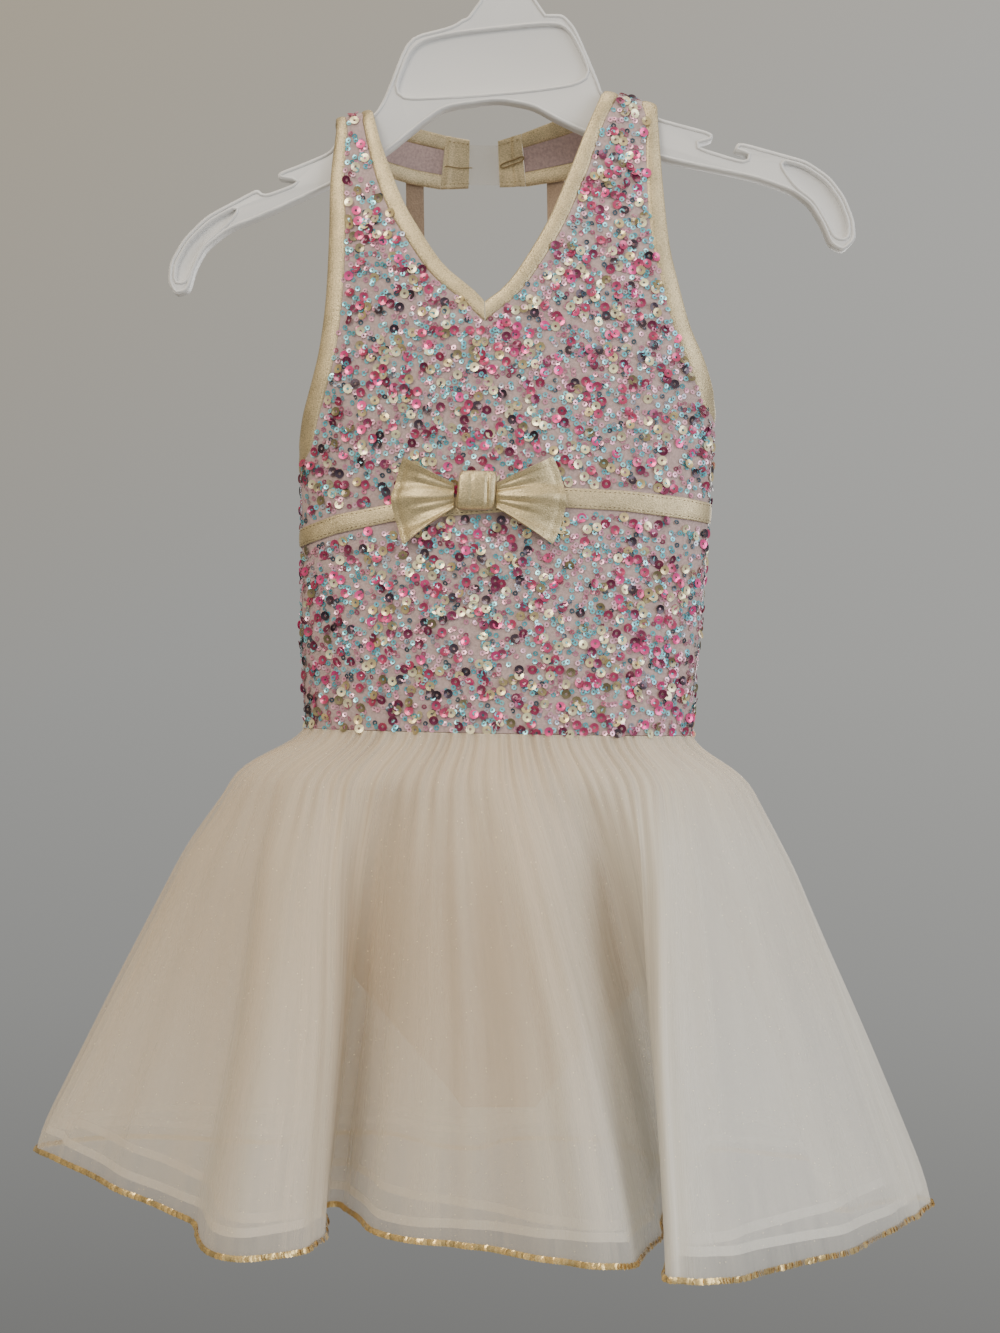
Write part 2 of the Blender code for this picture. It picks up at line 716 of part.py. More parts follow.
def bow(collection):
    """Two pleated wings, and the knot between them."""
    front_y = on_bodice(0.0, KNOT["z"], KNOT_LIFT)[1]
    bpy.ops.mesh.primitive_cube_add(
        size=MM, location=(KNOT["x"] * MM, (front_y - KNOT["deep"] / 2) * MM, KNOT["z"] * MM)
    )
    knot = bpy.context.object
    knot.name = knot.data.name = "bow_knot"
    knot.scale = (KNOT["width"], KNOT["deep"], KNOT["height"])
    bpy.ops.object.transform_apply(location=False, rotation=False, scale=True)
    rounded = knot.modifiers.new("rounded", "BEVEL")
    rounded.width = KNOT["round"] * MM
    rounded.segments = 2
    knot.data.materials.append(material("gold_lame"))
    for owner in list(knot.users_collection):
        owner.objects.unlink(knot)
    collection.objects.link(knot)

    for side, sizes in WINGS.items():
        rows = []
        for out in np.linspace(0, 1, WING_STEPS + 1):
            points = []
            for across in np.linspace(0, 1, 2 * WING_PLEATS + 1):
                reach = sizes["tip_x"] + sizes["corner_x"] * abs(2 * across - 1) ** 2
                x = sizes["root_x"] + (reach - sizes["root_x"]) * out
                top = WING_ROOT_Z[0] + (WING_TIP_Z[0] - WING_ROOT_Z[0]) * out
                bottom = WING_ROOT_Z[1] + (WING_TIP_Z[1] - WING_ROOT_Z[1]) * out
                z = top + (bottom - top) * across
                pleat = (0.5 + out) * math.cos(2 * math.pi * WING_PLEATS * across / 2)
                lift = KNOT_LIFT + WING_LIFT + WING_BULGE * math.sin(math.pi * out) + pleat
                points.append(on_bodice(angle_at(x, z), z, lift))
            rows.append(points)
        rows = rows if side == "left" else rows[::-1]
        cloth("bow_wing_" + side, rows, WING_THICKNESS, "gold_lame", collection)


def brief(collection):
    """A front and a back panel, joined at the sides and between the legs."""
    for back in (False, True):
        rows = []
        for row, (height, half, depth) in enumerate(
            zip(BRIEF["height"], BRIEF["half"], BRIEF["depth"])
        ):
            points = []
            leg_row = row - BRIEF_SIDE_ROWS
            reach = THICK_SEAM if leg_row < 0 else BRIEF_LEG_REACH - BRIEF_LEG_STEP * leg_row
            for angle in seam_to_seam(reach, BRIEF_COLUMNS):
                turn = math.radians(angle)
                x = 1.0 + half * math.sin(turn) / math.sin(math.radians(reach))
                y = -depth * math.cos(turn)
                z = height + (WAIST_TILT * x if row == 0 else 0.0)
                points.append((x, -y if back else y, z))
            rows.append(points[::-1] if back else points)
        cloth("brief_back" if back else "brief_front", rows[::-1], CLOTH, "nude_cloth", collection)


def shares_of(points, evenness=EVEN_SHARE):
    """How far along each point is, part by count and part by the cloth's length."""
    run = np.concatenate([[0], np.cumsum(np.linalg.norm(np.diff(points, axis=0), axis=1))])
    even = np.linspace(0, 1, len(points))
    return evenness * even + (1 - evenness) * run / run[-1]


def hem_loop():
    """Points of the outer hem all the way round, and the number of them on the front."""
    rows = [np.stack([hem["x"], hem["y"], hem["z"]], axis=1) for hem in (HEM_FRONT, HEM_BACK)]
    fine = spline(np.vstack(rows), BEND_STEPS, closed=True)
    split = len(rows[0]) * BEND_STEPS
    found = []
    for line, columns in (
        (fine[: split + 1], FRONT_COLUMNS),
        (np.vstack([fine[split:], fine[:1]]), BACK_SKIRT_COLUMNS),
    ):
        at = np.linspace(0, 1, columns + 1)[:-1]
        shares = shares_of(line, BEND_SHARE)
        found.append(np.stack([np.interp(at, shares, line[:, k]) for k in range(3)], axis=1))
    return np.vstack(found), FRONT_COLUMNS


def waist_angles(hem, front_count):
    """The angle round the waist, from the left seam at -90 by the front, of each hem point."""
    turn = np.linspace(-90, 90, 181)
    _, half, depth = girth(WAIST_Z)
    step = np.hypot(half * np.cos(np.radians(turn)), depth * np.sin(np.radians(turn)))
    run = np.concatenate([[0], np.cumsum(step[1:] + step[:-1])])
    front = np.interp(shares_of(hem[: front_count + 1])[:-1] * run[-1], run, turn)
    back = shares_of(np.vstack([hem[front_count:], hem[:1]]))[:-1]
    return np.concatenate([front, 180 + np.interp(back * run[-1], run, turn)])


def inward(hem):
    """A step of one millimetre square to the hem, to the inside, lengthened where it bends."""
    after = np.roll(hem, -1, axis=0) - hem
    before = hem - np.roll(hem, 1, axis=0)
    steps = []
    for one, two in zip(before[:, :2], after[:, :2]):
        one, two = one / np.linalg.norm(one), two / np.linalg.norm(two)
        along = (one + two) / np.linalg.norm(one + two)
        steps.append(np.array([-along[1], along[0], 0.0]) / max(0.35, float(along @ one)))
    return np.array(steps)


def skirt_grid(sizes):
    """Rows of points of one layer, all the way round."""
    hem, front_count = hem_loop()
    angles = np.radians(waist_angles(hem, front_count))
    middle, half, depth = girth(WAIST_Z)
    half, depth = half + WAIST_LIFT, depth + WAIST_LIFT
    x = middle + half * np.sin(angles)
    ring = np.stack([x, -depth * np.cos(angles), SKIRT_TOP + WAIST_TILT * x], axis=1)
    reach = np.where(np.cos(angles) > 0, EVEN_HEM["front"], EVEN_HEM["back"])
    even = hem.copy()
    even[:, 0] = EVEN_HEM["x"] + EVEN_HEM["half"] * np.sin(angles)
    even[:, 1] = EVEN_HEM["y"] - reach * np.cos(angles)

    out = np.stack([depth * np.sin(angles), -half * np.cos(angles), 0 * angles], axis=1)
    out /= np.linalg.norm(out, axis=1)[:, None]
    widths = np.linalg.norm(np.roll(ring, -1, axis=0) - np.roll(ring, 1, axis=0), axis=1)
    gather = np.minimum(GATHER, GATHER_SLOPE * widths) * (-1.0) ** np.arange(len(hem))
    for seam in (0, front_count):
        gather[[seam - 1, seam, seam + 1]] = 0.0

    rows = []
    drops = np.append(SKIRT_ROWS["drop"][:-1], sizes["drop"])
    for drop in drops:
        spread, fold = (
            np.interp(drop, SKIRT_ROWS["drop"], SKIRT_ROWS[name]) for name in ("spread", "fold")
        )
        row = ring + (even - ring) * (spread, spread, drop) + (hem - even) * (fold, fold, 0)
        row += inward(row) * sizes["inside"]
        row[:, 2] -= sizes["below"] if drop > 0 else 0.0
        rows.append(row + out * (gather * math.exp(-GATHER_FADE * drop))[:, None])
    return np.array(rows), front_count


def panels(rows, front_count):
    """The front and the back panel of a closed grid, parted by a gap at each side seam."""
    closed = np.concatenate([rows, rows[:, :1]], axis=1)
    for name, panel in (
        ("front", closed[:, : front_count + 1].copy()),
        ("back", closed[:, front_count:].copy()),
    ):
        for end, beside in ((0, 1), (-1, -2)):
            step = panel[:, beside] - panel[:, end]
            panel[:, end] += step / np.linalg.norm(step, axis=1)[:, None] * GAP / 2
        yield name, panel


def skirt(collection):
    """Three layers of tulle, each a front and a back, and the trim on the outer hem."""
    for layer, sizes in LAYERS.items():
        rows, front_count = skirt_grid(sizes)
        finish = "tulle_champagne" if layer == "outer" else "tulle_white"
        for name, panel in panels(rows, front_count):
            cloth(f"tulle_{layer}_{name}", panel[::-1], CLOTH, finish, collection)

    rows, front_count = skirt_grid(LAYERS["outer"])
    hem, above = rows[-1], rows[-2]
    up = above - hem
    up /= np.linalg.norm(up, axis=1)[:, None]
    lift = inward(hem) * -(CLOTH / 2 + GAP + TRIM_THICKNESS / 2)
    strip = np.array([hem + up * TRIM_HEIGHT + lift, hem + lift])
    for name, panel in panels(strip, front_count):
        cloth("hem_trim_" + name, panel[::-1], TRIM_THICKNESS, "gold_trim", collection)


def arc(radius, start, end):
    """Points on the hook's arc, in front view, from one angle to another."""
    for angle in np.radians(np.linspace(start, end, HOOK_STEPS + 1)):
        yield (radius * math.cos(angle), radius * math.sin(angle) - HOOK_INNER)


def slab(name, outline, front_y, back_y, collection, finish="hanger_plastic"):
    """A flat outline in front view, given thickness along Y."""
    count = len(outline)
    points = [(x, front_y, z) for x, z in outline] + [(x, back_y, z) for x, z in outline]
    faces = [tuple(range(count)), tuple(range(2 * count - 1, count - 1, -1))]
    faces += [(k, k + count, (k + 1) % count + count, (k + 1) % count) for k in range(count)]
    area = sum(
        a[0] * b[1] - b[0] * a[1] for a, b in zip(outline, outline[1:] + outline[:1])
    )
    if area < 0:
        faces = [face[::-1] for face in faces]
    return piece(name, points, faces, finish, collection)


def hanger(collection, cutters):
    """Hook, neck, plate and arms in one, with sunk panels on both faces."""
    outline = (
        list(HANGER_RIGHT)
        + list(HANGER_LEFT)
        + list(STEM_LEFT)
        + list(arc(HOOK_INNER, HOOK_START, HOOK_END))
        + list(HOOK_TIP[::-1])
        + list(arc(HOOK_OUTER, HOOK_END, HOOK_START))
        + list(STEM_RIGHT)
    )
    face = HANGER_THICKNESS / 2
    body = slab("hanger", outline, -face, face, collection)
    body.data.shade_flat()
    for name, recess in RECESSES.items():
        for side, sign in (("front", -1), ("back", 1)):
            near, far = sorted((sign * (face - RECESS_DEPTH), sign * (face + 1.0)))
            cutter = slab(f"cut_{name}_{side}", list(recess), near, far, cutters)
            cutter.hide_render = True
            cutter.display_type = "WIRE"
            cut = body.modifiers.new(cutter.name, "BOOLEAN")
            cut.operation = "DIFFERENCE"
            cut.solver = "EXACT"
            cut.object = cutter


def main():
    clear_scene()
    dress = new_collection("ballet_dress_on_hanger")
    cutters = new_collection("cutters")
    bodice_front(dress)
    bodice_back(dress)
    back_binding(dress)
    bindings(dress)
    collar(dress)
    closure_strip(dress)
    back_straps(dress)
    empire_band(dress)
    bow(dress)
    brief(dress)
    skirt(dress)
    hanger(dress, cutters)


main()
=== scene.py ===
"""The looks of a child's ballet dress on its hanger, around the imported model.

Everything is in the model's own frame: the origin is the seat of the hanger's hook, -Y is the
front and +Z is up. Sizes here are in millimetres until a piece is made.
"""

import math

import bmesh
import bpy
import mathutils
import numpy as np
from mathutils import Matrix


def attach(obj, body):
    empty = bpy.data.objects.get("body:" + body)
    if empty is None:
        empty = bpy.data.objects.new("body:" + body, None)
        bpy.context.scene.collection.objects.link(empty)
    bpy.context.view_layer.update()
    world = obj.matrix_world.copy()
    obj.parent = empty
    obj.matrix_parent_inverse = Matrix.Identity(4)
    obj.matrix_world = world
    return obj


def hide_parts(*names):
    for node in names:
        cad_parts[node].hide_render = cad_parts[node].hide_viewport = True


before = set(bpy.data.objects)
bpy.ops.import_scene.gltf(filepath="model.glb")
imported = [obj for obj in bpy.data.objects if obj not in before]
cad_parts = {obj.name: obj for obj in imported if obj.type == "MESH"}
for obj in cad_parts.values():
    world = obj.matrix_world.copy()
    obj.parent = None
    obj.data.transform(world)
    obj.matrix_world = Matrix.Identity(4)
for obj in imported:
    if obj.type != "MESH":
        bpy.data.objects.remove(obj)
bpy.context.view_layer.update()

MM = 0.001
GAP = 0.3
RANDOM = np.random.default_rng(11)


def table(columns, *rows):
    """A short table as a dictionary of its named columns."""
    values = np.array(rows, float)
    return {name: values[:, k] for k, name in enumerate(columns.split())}


# The bodice, as half an ellipse in front and half behind
BODICE = table(
    "height left right depth",
    (-433.5, -98.0, 100.0, 33.0),
    (-391.0, -100.6, 103.7, 31.0),
    (-340.0, -100.6, 107.8, 29.0),
    (-307.0, -101.0, 110.0, 28.0),
    (-265.0, -104.0, 112.5, 28.0),
    (-225.0, -104.0, 113.0, 27.5),
    (-180.0, -103.0, 107.0, 24.0),
    (-140.0, -101.0, 102.0, 17.0),
    (-100.0, -99.0, 100.0, 12.0),
)
WAIST_Z = -433.5
WAIST_TILT = -0.02
SIDE_SEAM = 89.7
THICK_SEAM = 89.2
FRONT_ROWS = table(
    "inner left_outer right_outer",
    (-433.5, -433.5, -433.5),
    (-391.0, -391.0, -391.0),
    (-340.0, -340.0, -340.0),
    (-302.0, -302.0, -302.0),
    (-296.0, -297.0, -296.0),
    (-275.0, -277.0, -275.0),
    (-270.0, -270.5, -270.0),
    (-250.0, -251.0, -250.0),
    (-226.2, -227.0, -226.2),
    (-200.0, -202.0, -200.0),
    (-172.0, -174.0, -172.0),
    (-145.0, -148.0, -145.0),
    (-119.0, -124.0, -117.0),
)
VEE_ROW = 8
ARMHOLE_ROW = {"left": 3, "right": 5}
FINER = 5  # rows of the shell for each row above
HALF_COLUMNS = 26
MIDDLE_X = table("height x", (-433.5, 0.0), (-226.2, -5.9))
NECK = {
    "left": table(
        "x z",
        (-6.2, -215.5),
        (-12.4, -209.0),
        (-27.0, -196.5),
        (-39.6, -177.6),
        (-48.2, -161.9),
        (-58.0, -136.0),
        (-62.8, -119.0),
    ),
    "right": table(
        "x z",
        (-6.2, -215.5),
        (1.0, -210.5),
        (10.5, -199.5),
        (25.2, -175.0),
        (35.8, -150.0),
        (46.0, -124.0),
        (52.4, -109.5),
    ),
}
ARMHOLE = {
    "left": table(
        "x z",
        (-101.9, -293.0),
        (-102.3, -287.0),
        (-101.4, -279.0),
        (-99.5, -269.0),
        (-94.3, -251.0),
        (-90.7, -235.7),
        (-87.6, -212.0),
        (-86.0, -180.0),
        (-85.5, -150.0),
        (-82.6, -124.0),
    ),
    "right": table(
        "x z",
        (112.4, -266.0),
        (111.9, -259.0),
        (108.8, -249.0),
        (105.2, -239.8),
        (98.5, -225.3),
        (92.8, -204.6),
        (88.1, -183.9),
        (85.2, -155.0),
        (83.6, -132.0),
        (82.6, -117.0),
    ),
}
NECK_TIP = (-5.9, -225.9)
NECK_BINDING = table("share width", (0.0, 7.6), (0.7, 7.8), (1.0, 6.0))
ARMHOLE_BINDING = table("share width", (0.0, 9.0), (0.7, 8.6), (1.0, 6.0))
EDGE_STEPS = 72

# The halter collar: its neck edge and its shoulder edge, from the front round to the back
COLLAR = {
    "left": table(
        "neck_x neck_y neck_z edge_x edge_y edge_z",
        (-63.6, -9.6, -115.6, -82.5, -7.4, -120.6),
        (-64.8, -5.5, -113.6, -83.0, -5.0, -118.2),
        (-65.0, 0.5, -113.3, -83.6, 0.5, -117.6),
        (-64.6, 7.0, -113.0, -84.0, 7.0, -120.0),
        (-62.5, 15.0, -112.4, -81.0, 15.0, -129.0),
        (-57.0, 24.5, -111.2, -73.0, 25.0, -134.8),
        (-49.0, 33.5, -111.0, -61.0, 35.5, -137.0),
        (-39.0, 41.5, -111.2, -47.0, 44.0, -139.5),
        (-28.0, 47.0, -112.6, -31.0, 49.6, -141.2),
    ),
    "right": table(
        "neck_x neck_y neck_z edge_x edge_y edge_z",
        (53.6, -8.6, -106.0, 82.6, -7.2, -113.2),
        (55.3, -5.0, -103.6, 82.2, -5.0, -110.8),
        (55.6, 0.5, -102.8, 82.0, 0.5, -110.0),
        (55.0, 7.5, -102.6, 81.5, 8.0, -113.0),
        (52.6, 15.5, -102.8, 77.5, 17.0, -121.5),
        (48.0, 25.0, -103.3, 70.5, 27.0, -129.5),
        (41.5, 34.0, -104.0, 59.5, 36.5, -133.5),
        (33.0, 41.5, -105.4, 45.0, 44.5, -136.0),
        (13.4, 49.2, -111.0, 15.8, 51.4, -139.2),
    ),
}
COLLAR_EDGING = 0.28
COLLAR_SEAM = 0.006
COLLAR_STEPS = 10
TABS = {  # neck edge and lower edge where the tab starts, then where it ends
    "left": ((-27.7, 47.1, -112.7), (-30.7, 49.7, -141.3), (-15.0, 50.0, -114.2), (-15.6, 51.6, -140.2)),
    "right": ((13.1, 49.3, -111.1), (15.5, 51.5, -139.2), (0.4, 50.6, -114.6), (1.4, 52.4, -139.4)),
}
STRIP = {"x": (-19.0, -7.5, 4.5), "y": (53.4, 54.6, 54.8), "z": (-137.6, -116.0)}

BACK_EDGE = table(
    "x z",
    (-101.9, -293.0),
    (-74.0, -297.5),
    (-42.0, -301.0),
    (0.0, -304.0),
    (40.0, -295.0),
    (76.0, -280.0),
    (112.4, -266.0),
)
BACK_BINDING = 9.0
STRAP_WIDTH = 9.5
STRAPS = {
    "left": table(
        "x y z slope",
        (-44.6, 46.8, -129.0, 0.34),
        (-44.6, 47.6, -141.0, 0.34),
        (-43.6, 41.0, -195.0, 0.26),
        (-42.6, 32.6, -260.0, 0.18),
        (-42.0, 27.9, -308.0, 0.13),
    ),
    "right": table(
        "x y z slope",
        (31.5, 49.9, -130.0, -0.25),
        (31.8, 50.3, -139.0, -0.25),
        (32.2, 42.0, -190.0, -0.20),
        (32.6, 33.0, -250.0, -0.14),
        (33.0, 29.3, -302.0, -0.09),
    ),
}
BAND = table(
    "x top bottom",
    (-101.6, -329.5, -338.8),
    (-81.0, -322.7, -332.4),
    (-51.0, -317.5, -326.3),
    (34.0, -309.9, -319.8),
    (64.0, -311.0, -321.3),
    (94.5, -313.8, -324.6),
    (109.4, -316.0, -326.4),
)
BAND_LIFT = 1.4
KNOT = {"x": -10.2, "z": -311.8, "width": 19.0, "height": 20.0, "deep": 9.0}
KNOT_LIFT = 2.2
WINGS = {
    "left": {"root_x": -20.5, "tip_x": -50.0, "corner_x": 6.0},
    "right": {"root_x": 0.1, "tip_x": 33.0, "corner_x": -6.5},
}
WING_ROOT_Z = (-307.8, -320.2)
WING_TIP_Z = (-294.6, -338.6)

BRIEF = table(
    "height half depth",
    (-433.9, 92.8, 26.8),
    (-480.0, 88.8, 23.2),
    (-520.0, 86.0, 21.0),
    (-552.0, 80.0, 18.0),
    (-575.0, 62.0, 15.0),
    (-600.0, 41.0, 11.0),
    (-618.0, 26.0, 5.5),
    (-628.0, 19.0, 1.2),
)
BRIEF_SIDE_ROWS = 4
BRIEF_FINER = 6  # rows of the knit for each row above
BRIEF_LEG_REACH = 72.0
BRIEF_LEG_STEP = 8.0

# The skirt: how far its rows and its folds have gone on the way down
SKIRT_ROWS = table(
    "drop spread fold",
    (0.0, 0.0, 0.0),
    (0.018, 0.006, 0.0),
    (0.09, 0.24, 0.06),
    (0.28, 0.45, 0.30),
    (0.60, 0.70, 0.66),
    (1.0, 1.0, 1.0),
)
EVEN_HEM = {"x": -12.0, "y": -8.0, "half": 226.0, "front": 125.0, "back": 112.0}
SKIRT_TOP = WAIST_Z - GAP
WAIST_LIFT = 0.9
LAYERS = {
    "outer": {"inside": 0.0, "below": 0.0, "drop": 1.0, "own": 0.0, "uneven": 0.0},
    "middle": {"inside": 2.0, "below": 1.6, "drop": 0.955, "own": 1.1, "uneven": 2.5},
    "inner": {"inside": 4.0, "below": 3.2, "drop": 0.913, "own": 2.3, "uneven": 3.5},
}
FRONT_COLUMNS = 304
BACK_SKIRT_COLUMNS = 216
FRONT_GATHERS = 38
BACK_GATHERS = 27
GATHER = 0.8
GATHER_FADE = 7.0
BEND_STEPS = 24
EVEN_SHARE = 0.65
BEND_SHARE = 0.6
SKIRT_STEPS = 44
CUT_HEM = 1700.0  # of a layer, all round

HEM_FRONT = table(
    "x y z",
    (-228.0, -11.0, -654.0),
    (-190.0, -40.0, -661.0),
    (-150.0, -78.0, -668.0),
    (-132.0, -115.0, -673.0),
    (-97.0, -116.0, -673.0),
    (-82.0, -94.0, -672.0),
    (-90.0, -42.0, -672.0),
    (-79.0, -35.0, -672.0),
    (-46.0, -92.0, -672.0),
    (-10.0, -108.0, -671.0),
    (30.0, -137.0, -671.0),
    (60.0, -139.0, -671.0),
    (73.0, -104.0, -671.0),
    (85.0, -44.0, -671.0),
    (98.0, -42.0, -671.0),
    (92.0, -100.0, -672.0),
    (76.0, -147.0, -673.0),
    (82.0, -160.0, -673.0),
    (108.0, -146.0, -675.0),
    (160.0, -104.0, -676.0),
    (203.0, -54.0, -676.0),
)
HEM_BACK = table(
    "x y z",
    (216.0, -30.0, -676.0),
    (222.0, -15.0, -676.0),
    (215.0, -6.0, -676.0),
    (202.0, -13.0, -676.0),
    (180.0, -31.0, -675.0),
    (172.0, -26.0, -675.0),
    (177.0, -8.0, -675.0),
    (202.0, 32.0, -675.0),
    (172.0, 74.0, -675.0),
    (130.0, 98.0, -675.0),
    (112.0, 73.0, -674.0),
    (88.0, 78.0, -674.0),
    (64.0, 116.0, -675.0),
    (14.0, 124.0, -675.0),
    (-6.0, 92.0, -673.0),
    (-34.0, 94.0, -672.0),
    (-60.0, 124.0, -672.0),
    (-106.0, 114.0, -670.0),
    (-124.0, 80.0, -667.0),
    (-167.0, 62.0, -661.0),
    (-205.0, 46.0, -656.0),
    (-243.0, 10.0, -652.0),
)

# The smaller creases of the skirt, placed along its hem from the left side seam round the
# front: where, how wide at the hem, how high (a trough is negative), and where on the way down
# each starts and is at its full height
CREASES = table(
    "share width height start full",
    (0.030, 0.012, 1.6, 0.20, 0.9),
    (0.062, 0.008, -1.3, 0.05, 0.5),
    (0.098, 0.010, 1.8, 0.30, 0.9),
    (0.131, 0.007, -1.2, 0.02, 0.4),
    (0.158, 0.009, 1.4, 0.10, 0.8),
    (0.187, 0.006, -1.5, 0.04, 0.5),
    (0.214, 0.010, 1.9, 0.15, 0.9),
    (0.249, 0.007, 1.2, 0.03, 0.4),
    (0.281, 0.009, -1.4, 0.08, 0.7),
    (0.306, 0.006, 1.6, 0.02, 0.5),
    (0.338, 0.011, 1.7, 0.20, 0.9),
    (0.371, 0.007, -1.3, 0.05, 0.5),
    (0.402, 0.009, 1.5, 0.12, 0.9),
    (0.436, 0.006, 1.3, 0.02, 0.4),
    (0.468, 0.010, -1.6, 0.10, 0.8),
    (0.493, 0.007, 1.4, 0.04, 0.6),
    (0.531, 0.010, 1.5, 0.20, 0.9),
    (0.566, 0.007, -1.2, 0.05, 0.5),
    (0.604, 0.011, 1.8, 0.25, 0.9),
    (0.647, 0.008, -1.4, 0.04, 0.5),
    (0.683, 0.009, 1.3, 0.10, 0.8),
    (0.719, 0.007, 1.6, 0.03, 0.5),
    (0.758, 0.010, -1.5, 0.12, 0.8),
    (0.796, 0.008, 1.4, 0.05, 0.6),
    (0.834, 0.011, 1.7, 0.20, 0.9),
    (0.871, 0.007, -1.3, 0.04, 0.5),
    (0.905, 0.010, 1.5, 0.15, 0.9),
    (0.944, 0.008, 1.2, 0.05, 0.6),
    (0.978, 0.009, -1.4, 0.10, 0.8),
)

# The hanger
HOOK_INNER = 15.0
HOOK_OUTER = 24.0
HOOK_START = -30.0
HOOK_END = 200.0
HOOK_STEPS = 40
STEM_RIGHT = ((17.5, -36.0), (15.5, -45.0), (19.2, -54.3))
STEM_LEFT = ((-9.3, -56.4), (-5.5, -46.0), (-1.0, -38.5), (7.0, -30.5))
HOOK_TIP = ((-21.0, -26.5), (-17.0, -26.0))
HANGER_RIGHT = (
    (25.4, -63.1), (34.2, -63.1), (40.9, -70.4), (52.6, -98.0), (54.5, -104.6),
    (70.0, -109.4), (79.0, -113.4), (83.4, -117.0), (111.4, -124.3), (111.4, -128.4),
    (101.0, -130.8), (128.0, -139.2), (130.5, -136.0), (122.3, -133.6), (124.5, -128.9),
    (147.2, -135.2), (160.1, -138.8), (172.1, -147.1), (179.8, -157.4), (184.5, -169.4),
    (185.5, -179.7), (178.8, -185.9), (172.1, -182.3), (167.9, -172.0), (161.7, -161.6),
    (152.4, -154.8), (133.7, -148.1), (86.0, -138.3), (45.1, -124.8), (30.1, -117.5),
    (18.1, -110.8), (0.5, -107.6),
)
HANGER_LEFT = (
    (-26.4, -111.4), (-38.4, -119.6), (-58.0, -135.7), (-86.0, -151.7), (-120.2, -167.3),
    (-138.4, -174.5), (-150.3, -183.9), (-156.0, -194.2), (-159.1, -206.2), (-166.4, -208.2),
    (-170.0, -201.5), (-169.0, -191.1), (-162.2, -179.2), (-150.3, -167.3), (-133.7, -158.5),
    (-123.8, -153.3), (-120.2, -156.6), (-101.8, -149.6), (-113.0, -148.1), (-113.0, -145.0),
    (-101.0, -140.4), (-86.0, -134.1), (-81.0, -124.5), (-74.0, -118.8), (-63.2, -114.9),
    (-58.0, -105.9), (-46.1, -75.0), (-23.3, -69.3), (-15.6, -64.1),
)
HANGER_THICKNESS = 8.0
RECESS_DEPTH = 2.2
RECESSES = {
    "plate": (
        (-54.0, -106.5), (-21.0, -105.0), (13.5, -102.4), (40.0, -98.8), (47.6, -94.0),
        (38.0, -73.4), (31.0, -68.0), (-21.0, -73.4), (-43.0, -78.6),
    ),
    "arm_left": (
        (-133.0, -162.6), (-147.6, -170.4), (-159.0, -181.4), (-165.0, -192.6), (-165.8, -201.4),
        (-160.6, -200.6), (-153.2, -182.2), (-140.2, -171.4),
    ),
    "arm_right": (
        (146.0, -139.0), (158.4, -142.4), (169.4, -150.0), (176.6, -160.0), (180.6, -171.0),
        (180.6, -178.6), (175.0, -178.0), (171.2, -170.4), (164.4, -158.8), (154.4, -151.4),
    ),
}

# Sequins: radius, hole, and how many to 100 square centimetres of net
LARGE_SEQUIN = {
    "radius": 2.4, "hole": 0.72, "sides": 12, "dish": 0.3, "deep": 0.2, "density": 190, "spacing": 2.9,
}
SMALL_SEQUIN = {
    "radius": 1.4, "hole": 0.55, "sides": 7, "dish": 0.1, "deep": 0.2, "density": 800, "spacing": 1.65,
}
LARGE_COLOURS = (  # share, and the colour of a sequin
    (0.21, (0.95, 0.86, 0.55)),
    # this gold and the next are darker copies of the first gold: painted shade
    (0.13, (0.66, 0.53, 0.28)),
    (0.08, (0.26, 0.22, 0.12)),
    (0.23, (0.50, 0.06, 0.16)),
    (0.12, (0.92, 0.09, 0.34)),
    (0.15, (0.22, 0.03, 0.09)),
    (0.08, (0.05, 0.03, 0.05)),
)
SMALL_COLOURS = (
    (0.26, (0.13, 0.52, 0.64)),
    (0.16, (0.32, 0.82, 0.94)),
    (0.19, (0.66, 0.28, 0.40)),
    (0.17, (0.96, 0.52, 0.68)),
    (0.09, (0.38, 0.10, 0.18)),
    (0.07, (0.05, 0.09, 0.13)),
    (0.06, (0.40, 0.43, 0.52)),
)

SHELL = 0.7  # thickness of a single cloth
STITCH = {"pitch": 2.5, "length": 1.7, "width": 0.42}
TAB_FOLD = {"left": 0.22, "right": 0.34}
HOOK_THREAD = (
    (-28.2, 46.0, -129.6), (-26.5, 45.9, -129.4), (-23.0, 46.6, -129.9), (-19.5, 47.4, -130.1),
    (-16.0, 48.5, -129.6), (-13.6, 49.4, -129.5),
)
EYE_THREAD = (
    (1.8, 49.6, -128.2), (5.5, 48.9, -126.3), (10.0, 48.1, -125.0), (13.4, 47.5, -123.8),
    (14.4, 47.4, -124.8), (12.6, 47.6, -126.6), (8.0, 48.4, -128.0), (3.6, 49.2, -129.5),
)
TRIM = {"radius": 1.6, "thickness": 0.3, "pitch": 1.5, "height": 1.7, "lift": 1.2}
TOP_CUT = 0.4  # of the hem's cut width that a skirt panel has at the waist
SKIRT_LENGTH = 270.0
HEM_BAND = 5.0  # height of the folded hem of the white layers
HEM_ROWS = 3
BIND_THICKNESS = 2.0
KNOT_COLUMNS = 33
WING_COLUMNS = 56


# Lines and surfaces, in millimetres


def spline(points, steps, closed=False):
    """Points on a smooth curve through the given ones, with so many steps between two."""
    points = np.array(points, float)
    count = len(points)
    ends = (2 * points[:1] - points[1:2], 2 * points[-1:] - points[-2:-1])
    if closed:
        pad = np.vstack([points[-1:], points, points[:2]])
    else:
        pad = np.vstack([ends[0], points, ends[1]])
    found = []
    for k in range(count if closed else count - 1):
        before, start, end, after = pad[k : k + 4]
        for t in np.arange(steps) / steps:
            linear = (end - before) * t
            square = (2 * before - 5 * start + 4 * end - after) * t**2
            cube = (3 * start - before - 3 * end + after) * t**3
            found.append(0.5 * (2 * start + linear + square + cube))
    return np.array(found if closed else found + [points[-1]])


